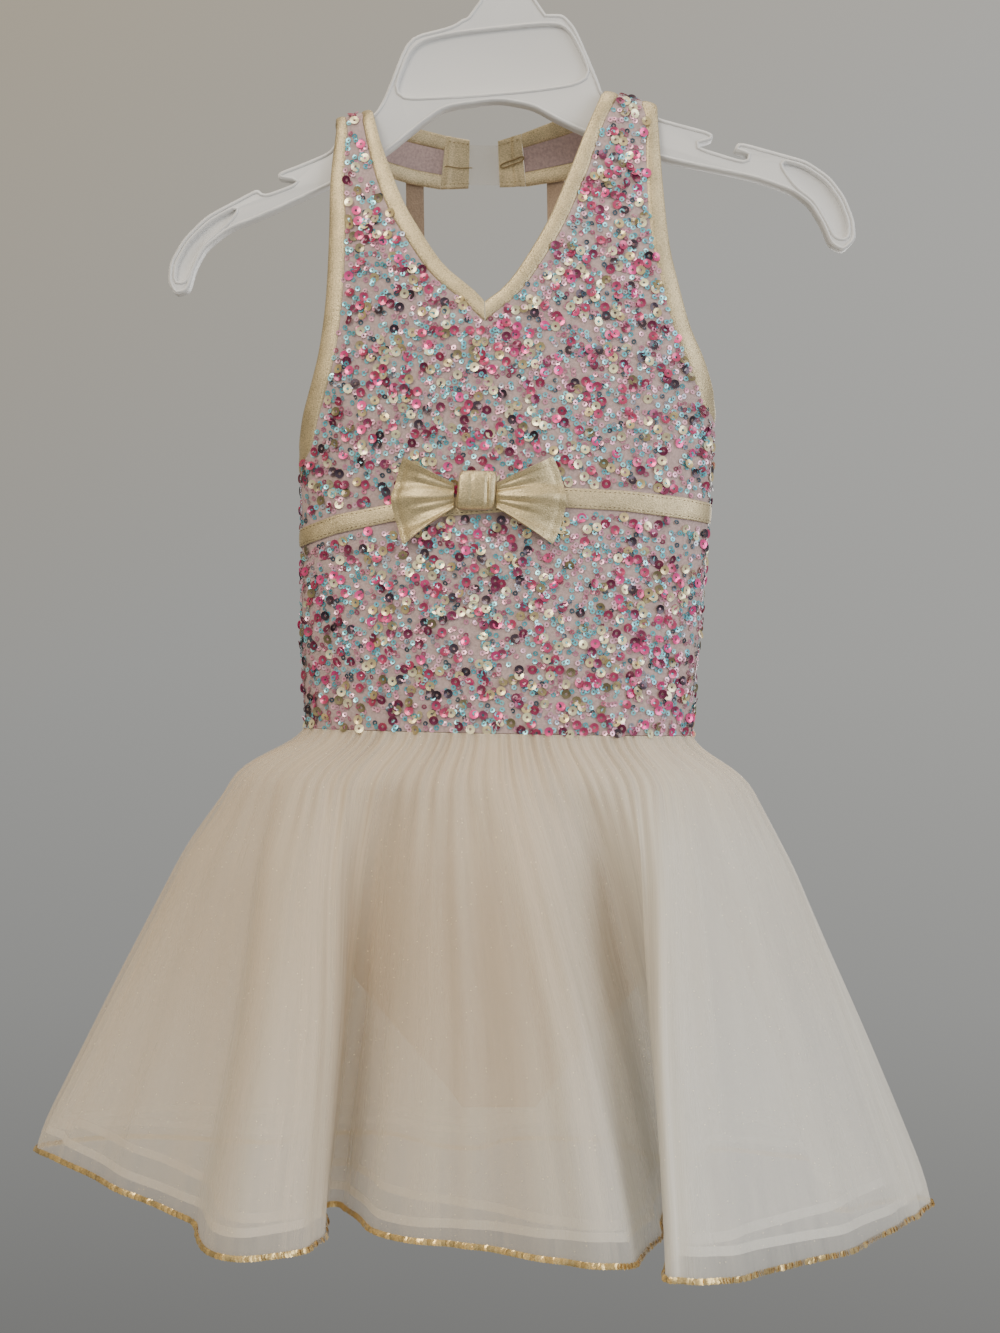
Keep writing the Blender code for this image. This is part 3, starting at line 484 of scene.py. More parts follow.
def spread_evenly(points, count):
    """So many points at equal distances along a line of points."""
    points = np.array(points, float)
    run = np.concatenate([[0], np.cumsum(np.linalg.norm(np.diff(points, axis=0), axis=1))])
    at = np.linspace(0, run[-1], count)
    return np.stack([np.interp(at, run, points[:, k]) for k in range(points.shape[1])], axis=1)


def unit(vectors):
    return vectors / np.maximum(np.linalg.norm(vectors, axis=-1, keepdims=True), 1e-9)


BODICE_LINES = spline(np.stack([BODICE[name] for name in BODICE], axis=1), 8)


def girth(height):
    """Middle, half width and depth of the bodice at a height."""
    left, right, depth = (np.interp(height, BODICE_LINES[:, 0], BODICE_LINES[:, k]) for k in (1, 2, 3))
    return (left + right) / 2, (right - left) / 2, depth


def on_bodice(angle, height, lift=0.0, back=False):
    """The point so many degrees round from the middle, lifted off the cloth."""
    middle, half, depth = girth(height)
    turn = math.radians(angle)
    y = (depth + lift) * math.cos(turn)
    return (middle + (half + lift) * math.sin(turn), y if back else -y, height)


def facing(angle, height):
    half, depth = girth(height)[1:]
    turn = math.radians(angle)
    return unit(np.array([math.sin(turn) / half, -math.cos(turn) / depth, 0.0]))


def crowded(share):
    return (share + math.sin(math.pi / 2 * share)) / 2


def seam_to_seam(reach, columns):
    """Angles from one side seam to the other."""
    half = [reach * crowded(share) for share in np.linspace(0, 1, columns // 2 + 1)]
    return np.array([-angle for angle in half[:0:-1]] + half)


def angle_at(x, height):
    middle, half = girth(height)[:2]
    return math.degrees(math.asin(max(-1.0, min(1.0, (x - middle) / half))))


def front_path(edge):
    """An opening's edge as angles and heights, evenly spaced."""
    line = spline(np.stack([edge["x"], edge["z"]], axis=1), 6)
    return np.array([(angle_at(x, z), z) for x, z in spread_evenly(line, EDGE_STEPS + 1)])


def moved_in(path, widths, towards):
    """The path moved over the front by widths, to its left (-1) or its right (1) going up."""
    spots = np.array([on_bodice(angle, z) for angle, z in path])
    found = []
    for k, spot in enumerate(spots):
        along = spots[min(k + 1, len(spots) - 1)] - spots[max(k - 1, 0)]
        to = spot + unit(np.cross(along, facing(*path[k])) * towards) * widths[k]
        middle, half, depth = girth(to[2])
        found.append((math.degrees(math.atan2((to[0] - middle) / half, -to[1] / depth)), to[2]))
    return np.array(found)


def side_of(side):
    return -1 if side == "left" else 1


def fine_rows(column, first=0):
    """Heights of the shell's rows, from a row of the table up."""
    values = FRONT_ROWS[column][first:]
    at = np.linspace(0, len(values) - 1, (len(values) - 1) * FINER + 1)
    return np.interp(at, np.arange(len(values)), values)


def opening_lines(kind, side):
    """A binding's opening edge and its edge on the cloth, up the front, as angles and heights."""
    neck = kind == "neck"
    path = front_path((NECK if neck else ARMHOLE)[side])
    widths = NECK_BINDING if neck else ARMHOLE_BINDING
    widths = np.interp(np.linspace(0, 1, EDGE_STEPS + 1), widths["share"], widths["width"])
    lines = [path, moved_in(path, widths, side_of(side) if neck else -side_of(side))]
    if neck:
        lines[1][0] = (angle_at(*NECK_TIP), NECK_TIP[1])
    else:
        path[0][0] = side_of(side) * THICK_SEAM
        lines[1][0] = (side_of(side) * THICK_SEAM, path[0][1] - widths[0])
    first = VEE_ROW if neck else ARMHOLE_ROW[side]
    heights = fine_rows("inner" if neck else side + "_outer", first)
    steps = np.arange(EDGE_STEPS + 1)
    at = np.interp(heights, np.maximum.accumulate(lines[1][:, 1]), steps)
    return [np.stack([np.interp(at, steps, line[:, k]) for k in (0, 1)], axis=1) for line in lines]


def pucker(angle, height):
    """How far the sequinned net stands out where the waist gathers it and its threads draw it."""
    above = height - WAIST_Z
    waist = 0.55 * math.exp(-above / 16.0) * math.sin(angle * 0.55 + 1.3)
    drawn = 0.22 * math.sin(angle * 0.21 + above * 0.045) * math.sin(above * 0.083 + angle * 0.05)
    return waist + drawn


def front_half(side, lift=0.0):
    """Rows of the front from its middle column to its side, as points."""
    neck = opening_lines("neck", side)[1]
    armhole = opening_lines("armhole", side)[1]
    inner_rows, outer_rows = fine_rows("inner"), fine_rows(side + "_outer")
    vee, arm = VEE_ROW * FINER, ARMHOLE_ROW[side] * FINER
    rows = []
    for row, (inner_z, outer_z) in enumerate(zip(inner_rows, outer_rows)):
        middle_x = np.interp(inner_z, MIDDLE_X["height"], MIDDLE_X["x"])
        inner = (angle_at(middle_x, inner_z), inner_z)
        outer = (side_of(side) * SIDE_SEAM, outer_z)
        if row >= vee:
            inner = neck[row - vee]
        if row >= arm:
            outer = armhole[row - arm]
        points = []
        for share in np.linspace(0, 1, HALF_COLUMNS + 1):
            angle, z = (a + (b - a) * crowded(share) for a, b in zip(inner, outer))
            x, y, z = on_bodice(angle, z, lift + pucker(angle, z) * math.cos(math.radians(angle)))
            points.append((x, y, z + WAIST_TILT * x * max(0.0, 1 - row / FINER)))
        rows.append(points)
    inside = COLLAR_EDGING - COLLAR_SEAM
    shares = [inside + (1 - 2 * inside) * crowded(t) for t in np.linspace(0, 1, HALF_COLUMNS + 1)]
    start = np.array([collar_line(side, share)[0] for share in shares])
    last = np.array(rows[-1])
    rows += [last + (start - last) * t for t in (0.25, 0.5, 0.75, 1.0)]
    return np.array(rows)


def back_height(x, share):
    bottom = WAIST_Z + WAIST_TILT * x
    top = np.interp(x, BACK_EDGE["x"], BACK_EDGE["z"]) - BACK_BINDING
    return bottom + (top - bottom) * share


def collar_line(side, share):
    """Points along the collar at a share of the way from its neck edge to its shoulder edge."""
    sizes = COLLAR[side]
    neck = np.stack([sizes["neck_x"], sizes["neck_y"], sizes["neck_z"]], axis=1)
    edge = np.stack([sizes["edge_x"], sizes["edge_y"], sizes["edge_z"]], axis=1)
    return spline(neck + (edge - neck) * share, COLLAR_STEPS)


def binding_edges(kind, side):
    """The two edges of a binding, up the front and on round the collar."""
    if kind == "neck":
        shares = (0.0, COLLAR_EDGING - COLLAR_SEAM)
    else:
        shares = (1.0, 1 - COLLAR_EDGING + COLLAR_SEAM)
    edges = []
    for line, share in zip(opening_lines(kind, side), shares):
        front = [on_bodice(angle, z) for angle, z in line]
        edges.append(np.vstack([front, collar_line(side, share)]))
    if kind == "neck":
        for line in edges:
            line[0][0] += side_of(side) * GAP / 2
    return edges


def band_edges():
    edges = []
    for edge in ("bottom", "top"):
        points = []
        for angle in seam_to_seam(SIDE_SEAM, 96):
            x = on_bodice(angle, -320.0)[0]
            points.append(on_bodice(angle, np.interp(x, BAND["x"], BAND[edge]), BAND_LIFT))
        edges.append(np.array(points))
    return edges


# The skirt's form


def shares_of(points, evenness=EVEN_SHARE):
    """How far along each point is, part by count and part by the cloth's length."""
    run = np.concatenate([[0], np.cumsum(np.linalg.norm(np.diff(points, axis=0), axis=1))])
    even = np.linspace(0, 1, len(points))
    return evenness * even + (1 - evenness) * run / run[-1]


def hem_loop():
    """Points of the outer hem all the way round, from the left seam by the front."""
    rows = [np.stack([hem["x"], hem["y"], hem["z"]], axis=1) for hem in (HEM_FRONT, HEM_BACK)]
    fine = spline(np.vstack(rows), BEND_STEPS, closed=True)
    split = len(rows[0]) * BEND_STEPS
    found = []
    for line, columns in (
        (fine[: split + 1], FRONT_COLUMNS),
        (np.vstack([fine[split:], fine[:1]]), BACK_SKIRT_COLUMNS),
    ):
        at = np.linspace(0, 1, columns + 1)[:-1]
        shares = shares_of(line, BEND_SHARE)
        found.append(np.stack([np.interp(at, shares, line[:, k]) for k in range(3)], axis=1))
    return np.vstack(found)


def waist_angles(hem):
    turn = np.linspace(-90, 90, 181)
    half, depth = girth(WAIST_Z)[1:]
    step = np.hypot(half * np.cos(np.radians(turn)), depth * np.sin(np.radians(turn)))
    run = np.concatenate([[0], np.cumsum(step[1:] + step[:-1])])
    front = np.interp(shares_of(hem[: FRONT_COLUMNS + 1])[:-1] * run[-1], run, turn)
    back = shares_of(np.vstack([hem[FRONT_COLUMNS:], hem[:1]]))[:-1]
    return np.concatenate([front, 180 + np.interp(back * run[-1], run, turn)])


def inward(row, reach=3):
    """A step of one millimetre square to a closed row, to the inside."""
    along = unit((np.roll(row, -reach, axis=0) - np.roll(row, reach, axis=0))[:, :2])
    return np.stack([-along[:, 1], along[:, 0], 0 * along[:, 0]], axis=1)


def eased(name, drop):
    """A column of the skirt's rows at a drop, without corners."""
    drops = SKIRT_ROWS["drop"]
    return sum(
        weight * np.interp(np.clip(drop + shift * (0.02 + 0.1 * drop), 0, 1), drops, SKIRT_ROWS[name])
        for shift, weight in ((-0.8, 0.2), (-0.3, 0.3), (0.3, 0.3), (0.8, 0.2))
    )


def creases(drop, count):
    """How far the smaller creases stand out at a drop, all round."""
    at = np.linspace(0, 1, count, endpoint=False)
    out = np.zeros(count)
    for share, width, height, start, full in zip(*CREASES.values()):
        grown = np.clip((drop - start) / (full - start), 0, 1)
        far = (at - share + 0.5) % 1 - 0.5
        out += 2.0 * height * grown * grown * (3 - 2 * grown) * np.exp(-((far / (0.8 * width)) ** 2))
    return out


def skirt_grid(layer):
    """Rows of points of one layer all the way round, and how far each row is down it."""
    sizes = LAYERS[layer]
    hem = hem_loop()
    count = len(hem)
    angles = np.radians(waist_angles(hem))
    middle, half, depth = girth(WAIST_Z)
    half, depth = half + WAIST_LIFT, depth + WAIST_LIFT
    x = middle + half * np.sin(angles)
    ring = np.stack([x, -depth * np.cos(angles), SKIRT_TOP + WAIST_TILT * x], axis=1)
    reach = np.where(np.cos(angles) > 0, EVEN_HEM["front"], EVEN_HEM["back"])
    even = hem.copy()
    even[:, 0] = EVEN_HEM["x"] + EVEN_HEM["half"] * np.sin(angles)
    even[:, 1] = EVEN_HEM["y"] - reach * np.cos(angles)
    out = unit(np.stack([depth * np.sin(angles), -half * np.cos(angles), 0 * angles], axis=1))

    front = np.arange(FRONT_COLUMNS) / FRONT_COLUMNS
    back = np.arange(BACK_SKIRT_COLUMNS) / BACK_SKIRT_COLUMNS
    waves = np.concatenate([FRONT_GATHERS * front, FRONT_GATHERS + BACK_GATHERS * back])
    uneven = 0.8 + 0.35 * np.sin(waves * 0.9 + 0.7) + 0.2 * np.sin(waves * 2.3)
    gather = GATHER * uneven * np.sin(2 * math.pi * waves + 0.6 * np.sin(waves))
    own = sizes["own"]
    wavering = 1.1 * np.sin(2 * math.pi * waves / 2.3 + 1.0 + own)
    wavering += 0.9 * np.sin(2 * math.pi * waves / 3.7 + 2.0 * own)

    hem_band = HEM_BAND / SKIRT_LENGTH
    upper = (np.linspace(0, 1, SKIRT_STEPS) ** 1.35) * (sizes["drop"] - hem_band)
    drops = np.concatenate([upper, sizes["drop"] - hem_band * np.array([0.9, 0.45, 0.0])])
    rows = []
    for drop in drops:
        spread, fold = eased("spread", drop), eased("fold", drop)
        row = ring + (even - ring) * (spread, spread, drop) + (hem - even) * (fold, fold, 0)
        settled = min(1.0, drop / 0.09)
        moved = sizes["inside"] * (0.35 + 0.65 * settled) - creases(drop, count)
        row = row + inward(row) * moved[:, None]
        row[:, 2] -= sizes["below"] * settled
        row[:, 2] += sizes["uneven"] * drop**4 * np.sin(waves * 0.55 + 3 * own)
        near_waist = 1 + 1.9 * (drop / 0.06) * math.exp(1 - drop / 0.06)
        ripple = gather * near_waist * math.exp(-GATHER_FADE * drop)
        ripple += wavering * min(1.0, drop * 5) * math.exp(-1.6 * drop)
        rows.append(row + out * ripple[:, None])
    return np.array(rows), drops


# Making pieces


def material(name, colour, roughness, metallic=0.0, **sockets):
    made = bpy.data.materials.new(name)
    made.use_nodes = True
    shader = made.node_tree.nodes["Principled BSDF"]
    shader.inputs["Base Color"].default_value = (*colour, 1.0)
    shader.inputs["Roughness"].default_value = roughness
    shader.inputs["Metallic"].default_value = metallic
    for socket, value in sockets.items():
        shader.inputs[socket.replace("_", " ")].default_value = value
    return made, made.node_tree, shader


def node(tree, kind, **settings):
    made = tree.nodes.new(kind)
    for name, value in settings.items():
        if name in made.inputs:
            made.inputs[name].default_value = value
        else:
            setattr(made, name, value)
    return made


def add_to(tree, first, second):
    return maths(tree, "ADD", first, second)


def noise(tree, source, scale, detail=2.0, stretch=(1.0, 1.0, 1.0)):
    mapping = node(tree, "ShaderNodeMapping")
    mapping.inputs["Scale"].default_value = stretch
    tree.links.new(source, mapping.inputs["Vector"])
    made = node(tree, "ShaderNodeTexNoise", Scale=scale, Detail=detail)
    tree.links.new(mapping.outputs["Vector"], made.inputs["Vector"])
    return made.outputs["Fac"]


def ramp(tree, factor, *stops):
    """A colour ramp from a factor, its stops given as place and colour."""
    made = node(tree, "ShaderNodeValToRGB")
    elements = made.color_ramp.elements
    while len(elements) < len(stops):
        elements.new(0.5)
    for element, (place, colour) in zip(elements, stops):
        element.position = place
        element.color = (*colour, 1.0)
    tree.links.new(factor, made.inputs["Fac"])
    return made.outputs["Color"]


def bump(tree, shader, height, strength, distance):
    made = node(tree, "ShaderNodeBump", Strength=strength, Distance=distance)
    tree.links.new(height, made.inputs["Height"])
    tree.links.new(made.outputs["Normal"], shader.inputs["Normal"])


def maths(tree, operation, first, second, clamp=False):
    made = node(tree, "ShaderNodeMath", operation=operation, use_clamp=clamp)
    for socket, value in zip(made.inputs, (first, second)):
        if isinstance(value, (int, float)):
            socket.default_value = value
        else:
            tree.links.new(value, socket)
    return made.outputs["Value"]


def finish_piece(made, name, finish, replaced=(), smooth_angle=60.0):
    made.name = made.data.name = name
    made.data.materials.clear()
    made.data.materials.append(finish)
    bpy.ops.object.select_all(action="DESELECT")
    made.select_set(True)
    bpy.context.view_layer.objects.active = made
    bpy.ops.object.shade_smooth_by_angle(angle=math.radians(smooth_angle))
    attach(made, "root")
    if replaced:
        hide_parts(*replaced)
    return made


def grid_sheet(rows):
    """An open sheet from a grid of points, its columns by its rows facing outwards."""
    rows = np.array(rows, float)
    count, wide = rows.shape[:2]
    bpy.ops.object.select_all(action="DESELECT")
    bpy.ops.mesh.primitive_grid_add(x_subdivisions=wide - 1, y_subdivisions=count - 1, size=1.0)
    made = bpy.context.object
    made.data.vertices.foreach_set("co", (rows * MM).ravel())
    made.data.update()
    return made


def edit(made, *steps):
    """Runs edit-mode operators on the whole of one piece."""
    bpy.ops.object.select_all(action="DESELECT")
    made.select_set(True)
    bpy.context.view_layer.objects.active = made
    bpy.ops.object.mode_set(mode="EDIT")
    bpy.ops.mesh.select_all(action="SELECT")
    for operator, settings in steps:
        operator(**settings)
    bpy.ops.object.mode_set(mode="OBJECT")


def merged(made):
    edit(made, (bpy.ops.mesh.remove_doubles, {"threshold": 1e-6}))
    return made


def apply(made, kind, **settings):
    """Adds a modifier to a piece and applies it."""
    modifier = made.modifiers.new("shape", kind)
    for name, value in settings.items():
        setattr(modifier, name, value)
    bpy.ops.object.select_all(action="DESELECT")
    made.select_set(True)
    bpy.context.view_layer.objects.active = made
    bpy.ops.object.modifier_apply(modifier=modifier.name)
    return made


def wall(made, thickness):
    return apply(made, "SOLIDIFY", thickness=thickness * MM, offset=0.0, use_even_offset=False)


def joined(pieces):
    bpy.ops.object.select_all(action="DESELECT")
    for one in pieces:
        one.select_set(True)
    bpy.context.view_layer.objects.active = pieces[0]
    bpy.ops.object.join()
    return bpy.context.object


def closed_ends(made):
    """Fills the open ends of a tube and turns its faces outwards."""
    edit(
        made,
        (bpy.ops.mesh.select_all, {"action": "DESELECT"}),
        (bpy.ops.mesh.select_non_manifold, {}),
        (bpy.ops.mesh.edge_face_add, {}),
    )
    edit(made, (bpy.ops.mesh.normals_make_consistent, {"inside": False}))
    return made


def rounded_strip(edge_a, edge_b, thickness, across=9, rows_of_stitches=(0.2, 0.8)):
    """A folded strip between two lines: rounded at both edges and drawn in at its stitches."""
    along = unit(np.gradient((edge_a + edge_b) / 2, axis=0))
    out = unit(np.cross(along, edge_b - edge_a))
    shares = (1 - np.cos(np.linspace(0, math.pi, across))) / 2
    ring = []
    for sign, order in ((1, shares), (-1, shares[::-1][1:-1])):
        for share in order:
            full = (1 - abs(2 * share - 1) ** 3) ** 0.5
            drawn = sum(math.exp(-(((share - row) / 0.07) ** 2)) for row in rows_of_stitches)
            height = thickness / 2 * max(0.12, full * (1 - 0.28 * drawn))
            ring.append(edge_a + (edge_b - edge_a) * share + out * (sign * height))
    ring.append(ring[0])
    made = merged(grid_sheet(np.stack(ring, axis=1)))
    return closed_ends(made)


def many(name, points, faces, places, turns, tints=None):
    """Copies of a small shape in one mesh: its points turned by each frame and put in place."""
    points = np.array(points, float)
    spots = places[:, None, :] + np.einsum("pk,nkj->npj", points, turns)
    total = len(points)
    all_faces = []
    base = np.array(faces)
    for k in range(len(places)):
        all_faces.extend((base + k * total).tolist())
    mesh = bpy.data.meshes.new(name)
    mesh.from_pydata((spots.reshape(-1, 3) * MM).tolist(), [], all_faces)
    made = bpy.data.objects.new(name, mesh)
    bpy.context.scene.collection.objects.link(made)
    if tints is not None:
        layer = mesh.color_attributes.new("tint", "FLOAT_COLOR", "POINT")
        colours = np.repeat(np.hstack([tints, np.ones((len(tints), 1))]), total, axis=0)
        layer.data.foreach_set("color", colours.ravel())
    return made


def frames_on(normals, alongs):
    """Turned frames: the first axis along, the third out of the surface."""
    third = unit(normals)
    first = unit(alongs - third * np.sum(alongs * third, axis=1, keepdims=True))
    return np.stack([first, np.cross(third, first), third], axis=1)


def stitch_row(line, normals, pitch, lift):
    """Places and frames of stitches along a line."""
    run = np.concatenate([[0], np.cumsum(np.linalg.norm(np.diff(line, axis=0), axis=1))])
    at = np.arange(pitch, run[-1], pitch)
    spots = np.stack([np.interp(at, run, line[:, k]) for k in range(3)], axis=1)
    outs = unit(np.stack([np.interp(at, run, normals[:, k]) for k in range(3)], axis=1))
    ahead = np.stack([np.interp(at + 0.5, run, line[:, k]) for k in range(3)], axis=1)
    behind = np.stack([np.interp(at - 0.5, run, line[:, k]) for k in range(3)], axis=1)
    return spots + outs * lift, frames_on(outs, ahead - behind)


def stitch_shape(length, width):
    """A short fat thread, pointed at both ends."""
    around = np.radians(np.arange(6) * 60.0)
    ring = [(0.0, width / 2 * math.cos(a), width / 2 * math.sin(a)) for a in around]
    points = ring + [(-length / 2, 0.0, -width / 4), (length / 2, 0.0, -width / 4)]
    faces = [(k, (k + 1) % 6, 7) for k in range(6)] + [((k + 1) % 6, k, 6) for k in range(6)]
    return points, faces


# Camera, light and stage


def studio():
    scene = bpy.context.scene
    scene.cycles.transparent_max_bounces = 64
    bpy.ops.object.camera_add(location=(0.00155, -1.05, -0.4), rotation=(math.pi / 2, 0.0, 0.0))
    scene.camera = bpy.context.object
    scene.camera.data.lens = 54.72
    scene.camera.data.sensor_width = 36.0
    scene.camera.data.clip_start = 0.01

    world = bpy.data.worlds.new("studio")
    scene.world = world
    world.use_nodes = True
    tree = world.node_tree
    background = tree.nodes["Background"]
    around = node(tree, "ShaderNodeTexCoord").outputs["Generated"]
    parts = node(tree, "ShaderNodeSeparateXYZ")
    tree.links.new(around, parts.inputs["Vector"])
    up = add_to(tree, maths(tree, "MULTIPLY", parts.outputs["Z"], 0.5), 0.5)
    grey = ramp(
        tree,
        up,
        (0.30, (0.150, 0.150, 0.146)),
        (0.36, (0.225, 0.225, 0.218)),
        (0.42, (0.310, 0.310, 0.300)),
        (0.50, (0.385, 0.384, 0.368)),
        (0.60, (0.440, 0.434, 0.410)),
        (0.70, (0.480, 0.470, 0.440)),
    )
    # warmer at the upper left, and brighter on the right and behind the camera
    warm = add_to(tree, maths(tree, "MULTIPLY", parts.outputs["Z"], 1.8), -0.22)
    warm = add_to(tree, warm, maths(tree, "MULTIPLY", parts.outputs["X"], -1.2))
    warm = maths(tree, "MULTIPLY", maths(tree, "MAXIMUM", warm, 0.0), 1.0, clamp=True)
    tinted = node(tree, "ShaderNodeMix", data_type="RGBA", blend_type="MULTIPLY")
    tree.links.new(warm, tinted.inputs["Factor"])
    tree.links.new(grey, tinted.inputs[6])
    tinted.inputs[7].default_value = (1.12, 0.94, 0.68, 1.0)
    tree.links.new(tinted.outputs[2], background.inputs["Color"])
    near = maths(tree, "MAXIMUM", maths(tree, "MULTIPLY", parts.outputs["Y"], -1.0), 0.0)
    strength = add_to(tree, maths(tree, "MULTIPLY", near, 0.9), 1.0)
    strength = add_to(tree, strength, maths(tree, "MULTIPLY", parts.outputs["X"], 0.3))
    tree.links.new(strength, background.inputs["Strength"])

    for name, place, aim, size, power, colour in LIGHTS:
        bpy.ops.object.light_add(type="AREA", location=place)
        light = bpy.context.object
        light.name = name
        light.data.size = size
        light.data.energy = power
        light.data.color = colour
        light.visible_camera = False
        towards = mathutils.Vector(aim) - mathutils.Vector(place)
        light.rotation_euler = towards.to_track_quat("-Z", "Y").to_euler()

    bpy.ops.mesh.primitive_plane_add(size=2.4, location=(0.0, 0.2, -1.3))
    floor = bpy.context.object
    floor.name = "floor"
    floor.data.materials.append(material("floor_paint", (0.62, 0.61, 0.58), 0.8)[0])


LIGHTS = (
    ("key", (-0.55, -1.1, 0.5), (0.0, 0.0, -0.35), 0.6, 10.0, (1.0, 0.93, 0.82)),
    ("window", (1.15, -0.8, -0.1), (0.0, 0.0, -0.45), 0.9, 9.0, (0.93, 0.96, 1.0)),
    ("top", (0.1, -0.1, 0.9), (0.0, 0.0, -0.4), 0.8, 5.0, (1.0, 0.97, 0.93)),
    ("behind", (0.5, 1.1, -0.2), (0.0, 0.0, -0.45), 0.9, 7.0, (1.0, 0.98, 0.95)),
)


# Materials


def gold(name, colour, roughness=0.36, shimmer=0.5):
    """Soft gold lame: a fine knit that glints in specks."""
    made, tree, shader = material(name, colour, roughness, 0.72, Sheen_Weight=0.15)
    where = node(tree, "ShaderNodeTexCoord").outputs["Object"]
    fine = noise(tree, where, 1400.0, 2.0, (1.0, 1.0, 1.6))
    broad = noise(tree, where, 90.0, 3.0)
    dark = tuple(0.62 * value for value in colour)
    light = tuple(min(1.0, 1.35 * value) for value in colour)
    mixed = maths(tree, "MULTIPLY_ADD", fine, 0.7)
    tree.links.new(maths(tree, "MULTIPLY", broad, 0.3), mixed.node.inputs[2])
    tree.links.new(
        ramp(tree, mixed, (0.35, dark), (0.52, colour), (0.68, light)), shader.inputs["Base Color"]
    )
    bump(tree, shader, fine, shimmer, 0.0006)
    return made


def plain(name, colour, roughness, grain=0.0, scale=900.0, **sockets):
    made, tree, shader = material(name, colour, roughness, **sockets)
    if grain:
        where = node(tree, "ShaderNodeTexCoord").outputs["Object"]
        fine = noise(tree, where, scale, 2.0)
        dark = tuple(0.8 * value for value in colour)
        light = tuple(min(1.0, 1.12 * value) for value in colour)
        tree.links.new(ramp(tree, fine, (0.3, dark), (0.7, light)), shader.inputs["Base Color"])
        bump(tree, shader, fine, grain, 0.0005)
    return made


def sequin_finish(name, metallic):
    made, tree, shader = material(name, (0.5, 0.4, 0.3), 0.26, metallic, Coat_Weight=0.4)
    tint = node(tree, "ShaderNodeAttribute", attribute_name="tint")
    tree.links.new(tint.outputs["Color"], shader.inputs["Base Color"])
    return made


def attribute(tree, name, output="Fac"):
    return node(tree, "ShaderNodeAttribute", attribute_name=name).outputs[output]


def tulle(name, pale, warm, opacity, glitter, hem=0.0):
    """Sheer net: closer together where it is gathered, with streaks down the cloth and glints."""
    made, tree, shader = material(name, pale, 0.6, Sheen_Weight=0.3, Sheen_Roughness=0.5)
    cloth = attribute(tree, "cloth", "Vector")
    streaks = noise(tree, cloth, 0.16, 3.0, (1.0, 0.07, 1.0))
    threads = noise(tree, cloth, 0.9, 2.0, (1.0, 0.05, 1.0))
    mixed = add_to(
        tree, maths(tree, "MULTIPLY", streaks, 0.6), maths(tree, "MULTIPLY", threads, 0.4)
    )
    tone = ramp(tree, attribute(tree, "pale"), (0.0, warm), (1.0, pale))

    specks = node(tree, "ShaderNodeTexVoronoi", Scale=glitter["scale"])
    where = node(tree, "ShaderNodeTexCoord").outputs["Object"]
    tree.links.new(where, specks.inputs["Vector"])
    glint = maths(tree, "LESS_THAN", specks.outputs["Distance"], glitter["size"])
    parts = node(tree, "ShaderNodeSeparateColor")
    tree.links.new(specks.outputs["Color"], parts.inputs["Color"])
    chosen = maths(tree, "GREATER_THAN", parts.outputs["Red"], glitter["kept"])
    glint = maths(tree, "MULTIPLY", glint, chosen)
    mix = node(tree, "ShaderNodeMix", data_type="RGBA")
    tree.links.new(glint, mix.inputs["Factor"])
    tree.links.new(tone, mix.inputs[6])
    mix.inputs[7].default_value = (*glitter["colour"], 1.0)
    tree.links.new(mix.outputs[2], shader.inputs["Base Color"])
    tree.links.new(maths(tree, "MULTIPLY", glint, 0.6), shader.inputs["Metallic"])

    # what the cloth lets through, to the power of how close it is gathered
    through = add_to(tree, maths(tree, "MULTIPLY", mixed, -0.5), 1.25 - opacity)
    through = maths(tree, "POWER", maths(tree, "MINIMUM", through, 0.97), attribute(tree, "close"))
    kept = add_to(tree, maths(tree, "MULTIPLY", attribute(tree, "edge"), -hem), 1.0)
    through = maths(tree, "MULTIPLY", through, kept)
    solid = maths(tree, "SUBTRACT", 1.0, maths(tree, "SQRT", through, 0.0), clamp=True)
    solid = maths(tree, "MAXIMUM", solid, maths(tree, "MULTIPLY", glint, 0.75))
    tree.links.new(solid, shader.inputs["Alpha"])
    return made


# Pieces of the bodice


def bodice(net):
    halves = []
    for side in ("left", "right"):
        rows = front_half(side)
        halves.append(grid_sheet(rows if side == "right" else rows[:, ::-1]))
    front = wall(merged(joined(halves)), SHELL)
    finish_piece(front, "bodice_front_net", net, ["bodice_front"])

    rows = back_rows()
    back = wall(grid_sheet(rows), SHELL)
    finish_piece(back, "bodice_back_net", net, ["bodice_back"])
    front_area = sum(sheet_area(front_half(side)) for side in ("left", "right"))
    return (front, front_area), (back, sheet_area(rows))


def back_rows():
    rows = []
    for share in np.linspace(0, 1, 25):
        points = []
        for angle in seam_to_seam(SIDE_SEAM, 80)[::-1]:
            z = back_height(on_bodice(angle, -360.0)[0], share)
            points.append(on_bodice(angle, z, pucker(angle + 90, z), back=True))
        rows.append(points)
    return np.array(rows)


def outer_side(edge_a, edge_b):
    """Unit steps out of a strip that runs round the body or the collar."""
    across = edge_b - edge_a
    return unit(np.cross(np.gradient((edge_a + edge_b) / 2, axis=0), across))


def bindings(gold_cloth, thread):
    """Folded bindings of the V, the armholes and the low back, each with two rows of stitches."""
    strips = {}
    for side in ("left", "right"):
        for kind in ("neck", "armhole"):
            name = f"{kind}_binding_{side}"
            strips[name] = (name, binding_edges(kind, side))
    lines = []
    for drop in (BACK_BINDING, 0.0):
        line = []
        for angle in seam_to_seam(THICK_SEAM, 80)[::-1]:
            x = on_bodice(angle, -300.0)[0]
            line.append(on_bodice(angle, np.interp(x, BACK_EDGE["x"], BACK_EDGE["z"]) - drop, back=True))
        lines.append(np.array(line))
    strips["back_binding"] = ("back_binding", lines)
    for name, (replaced, (edge_a, edge_b)) in strips.items():
        made = rounded_strip(edge_a, edge_b, BIND_THICKNESS)
        finish_piece(made, name + "_cloth", gold_cloth, [replaced])
        stitched(name, edge_a, edge_b, (0.2, 0.8), 0.72, thread)


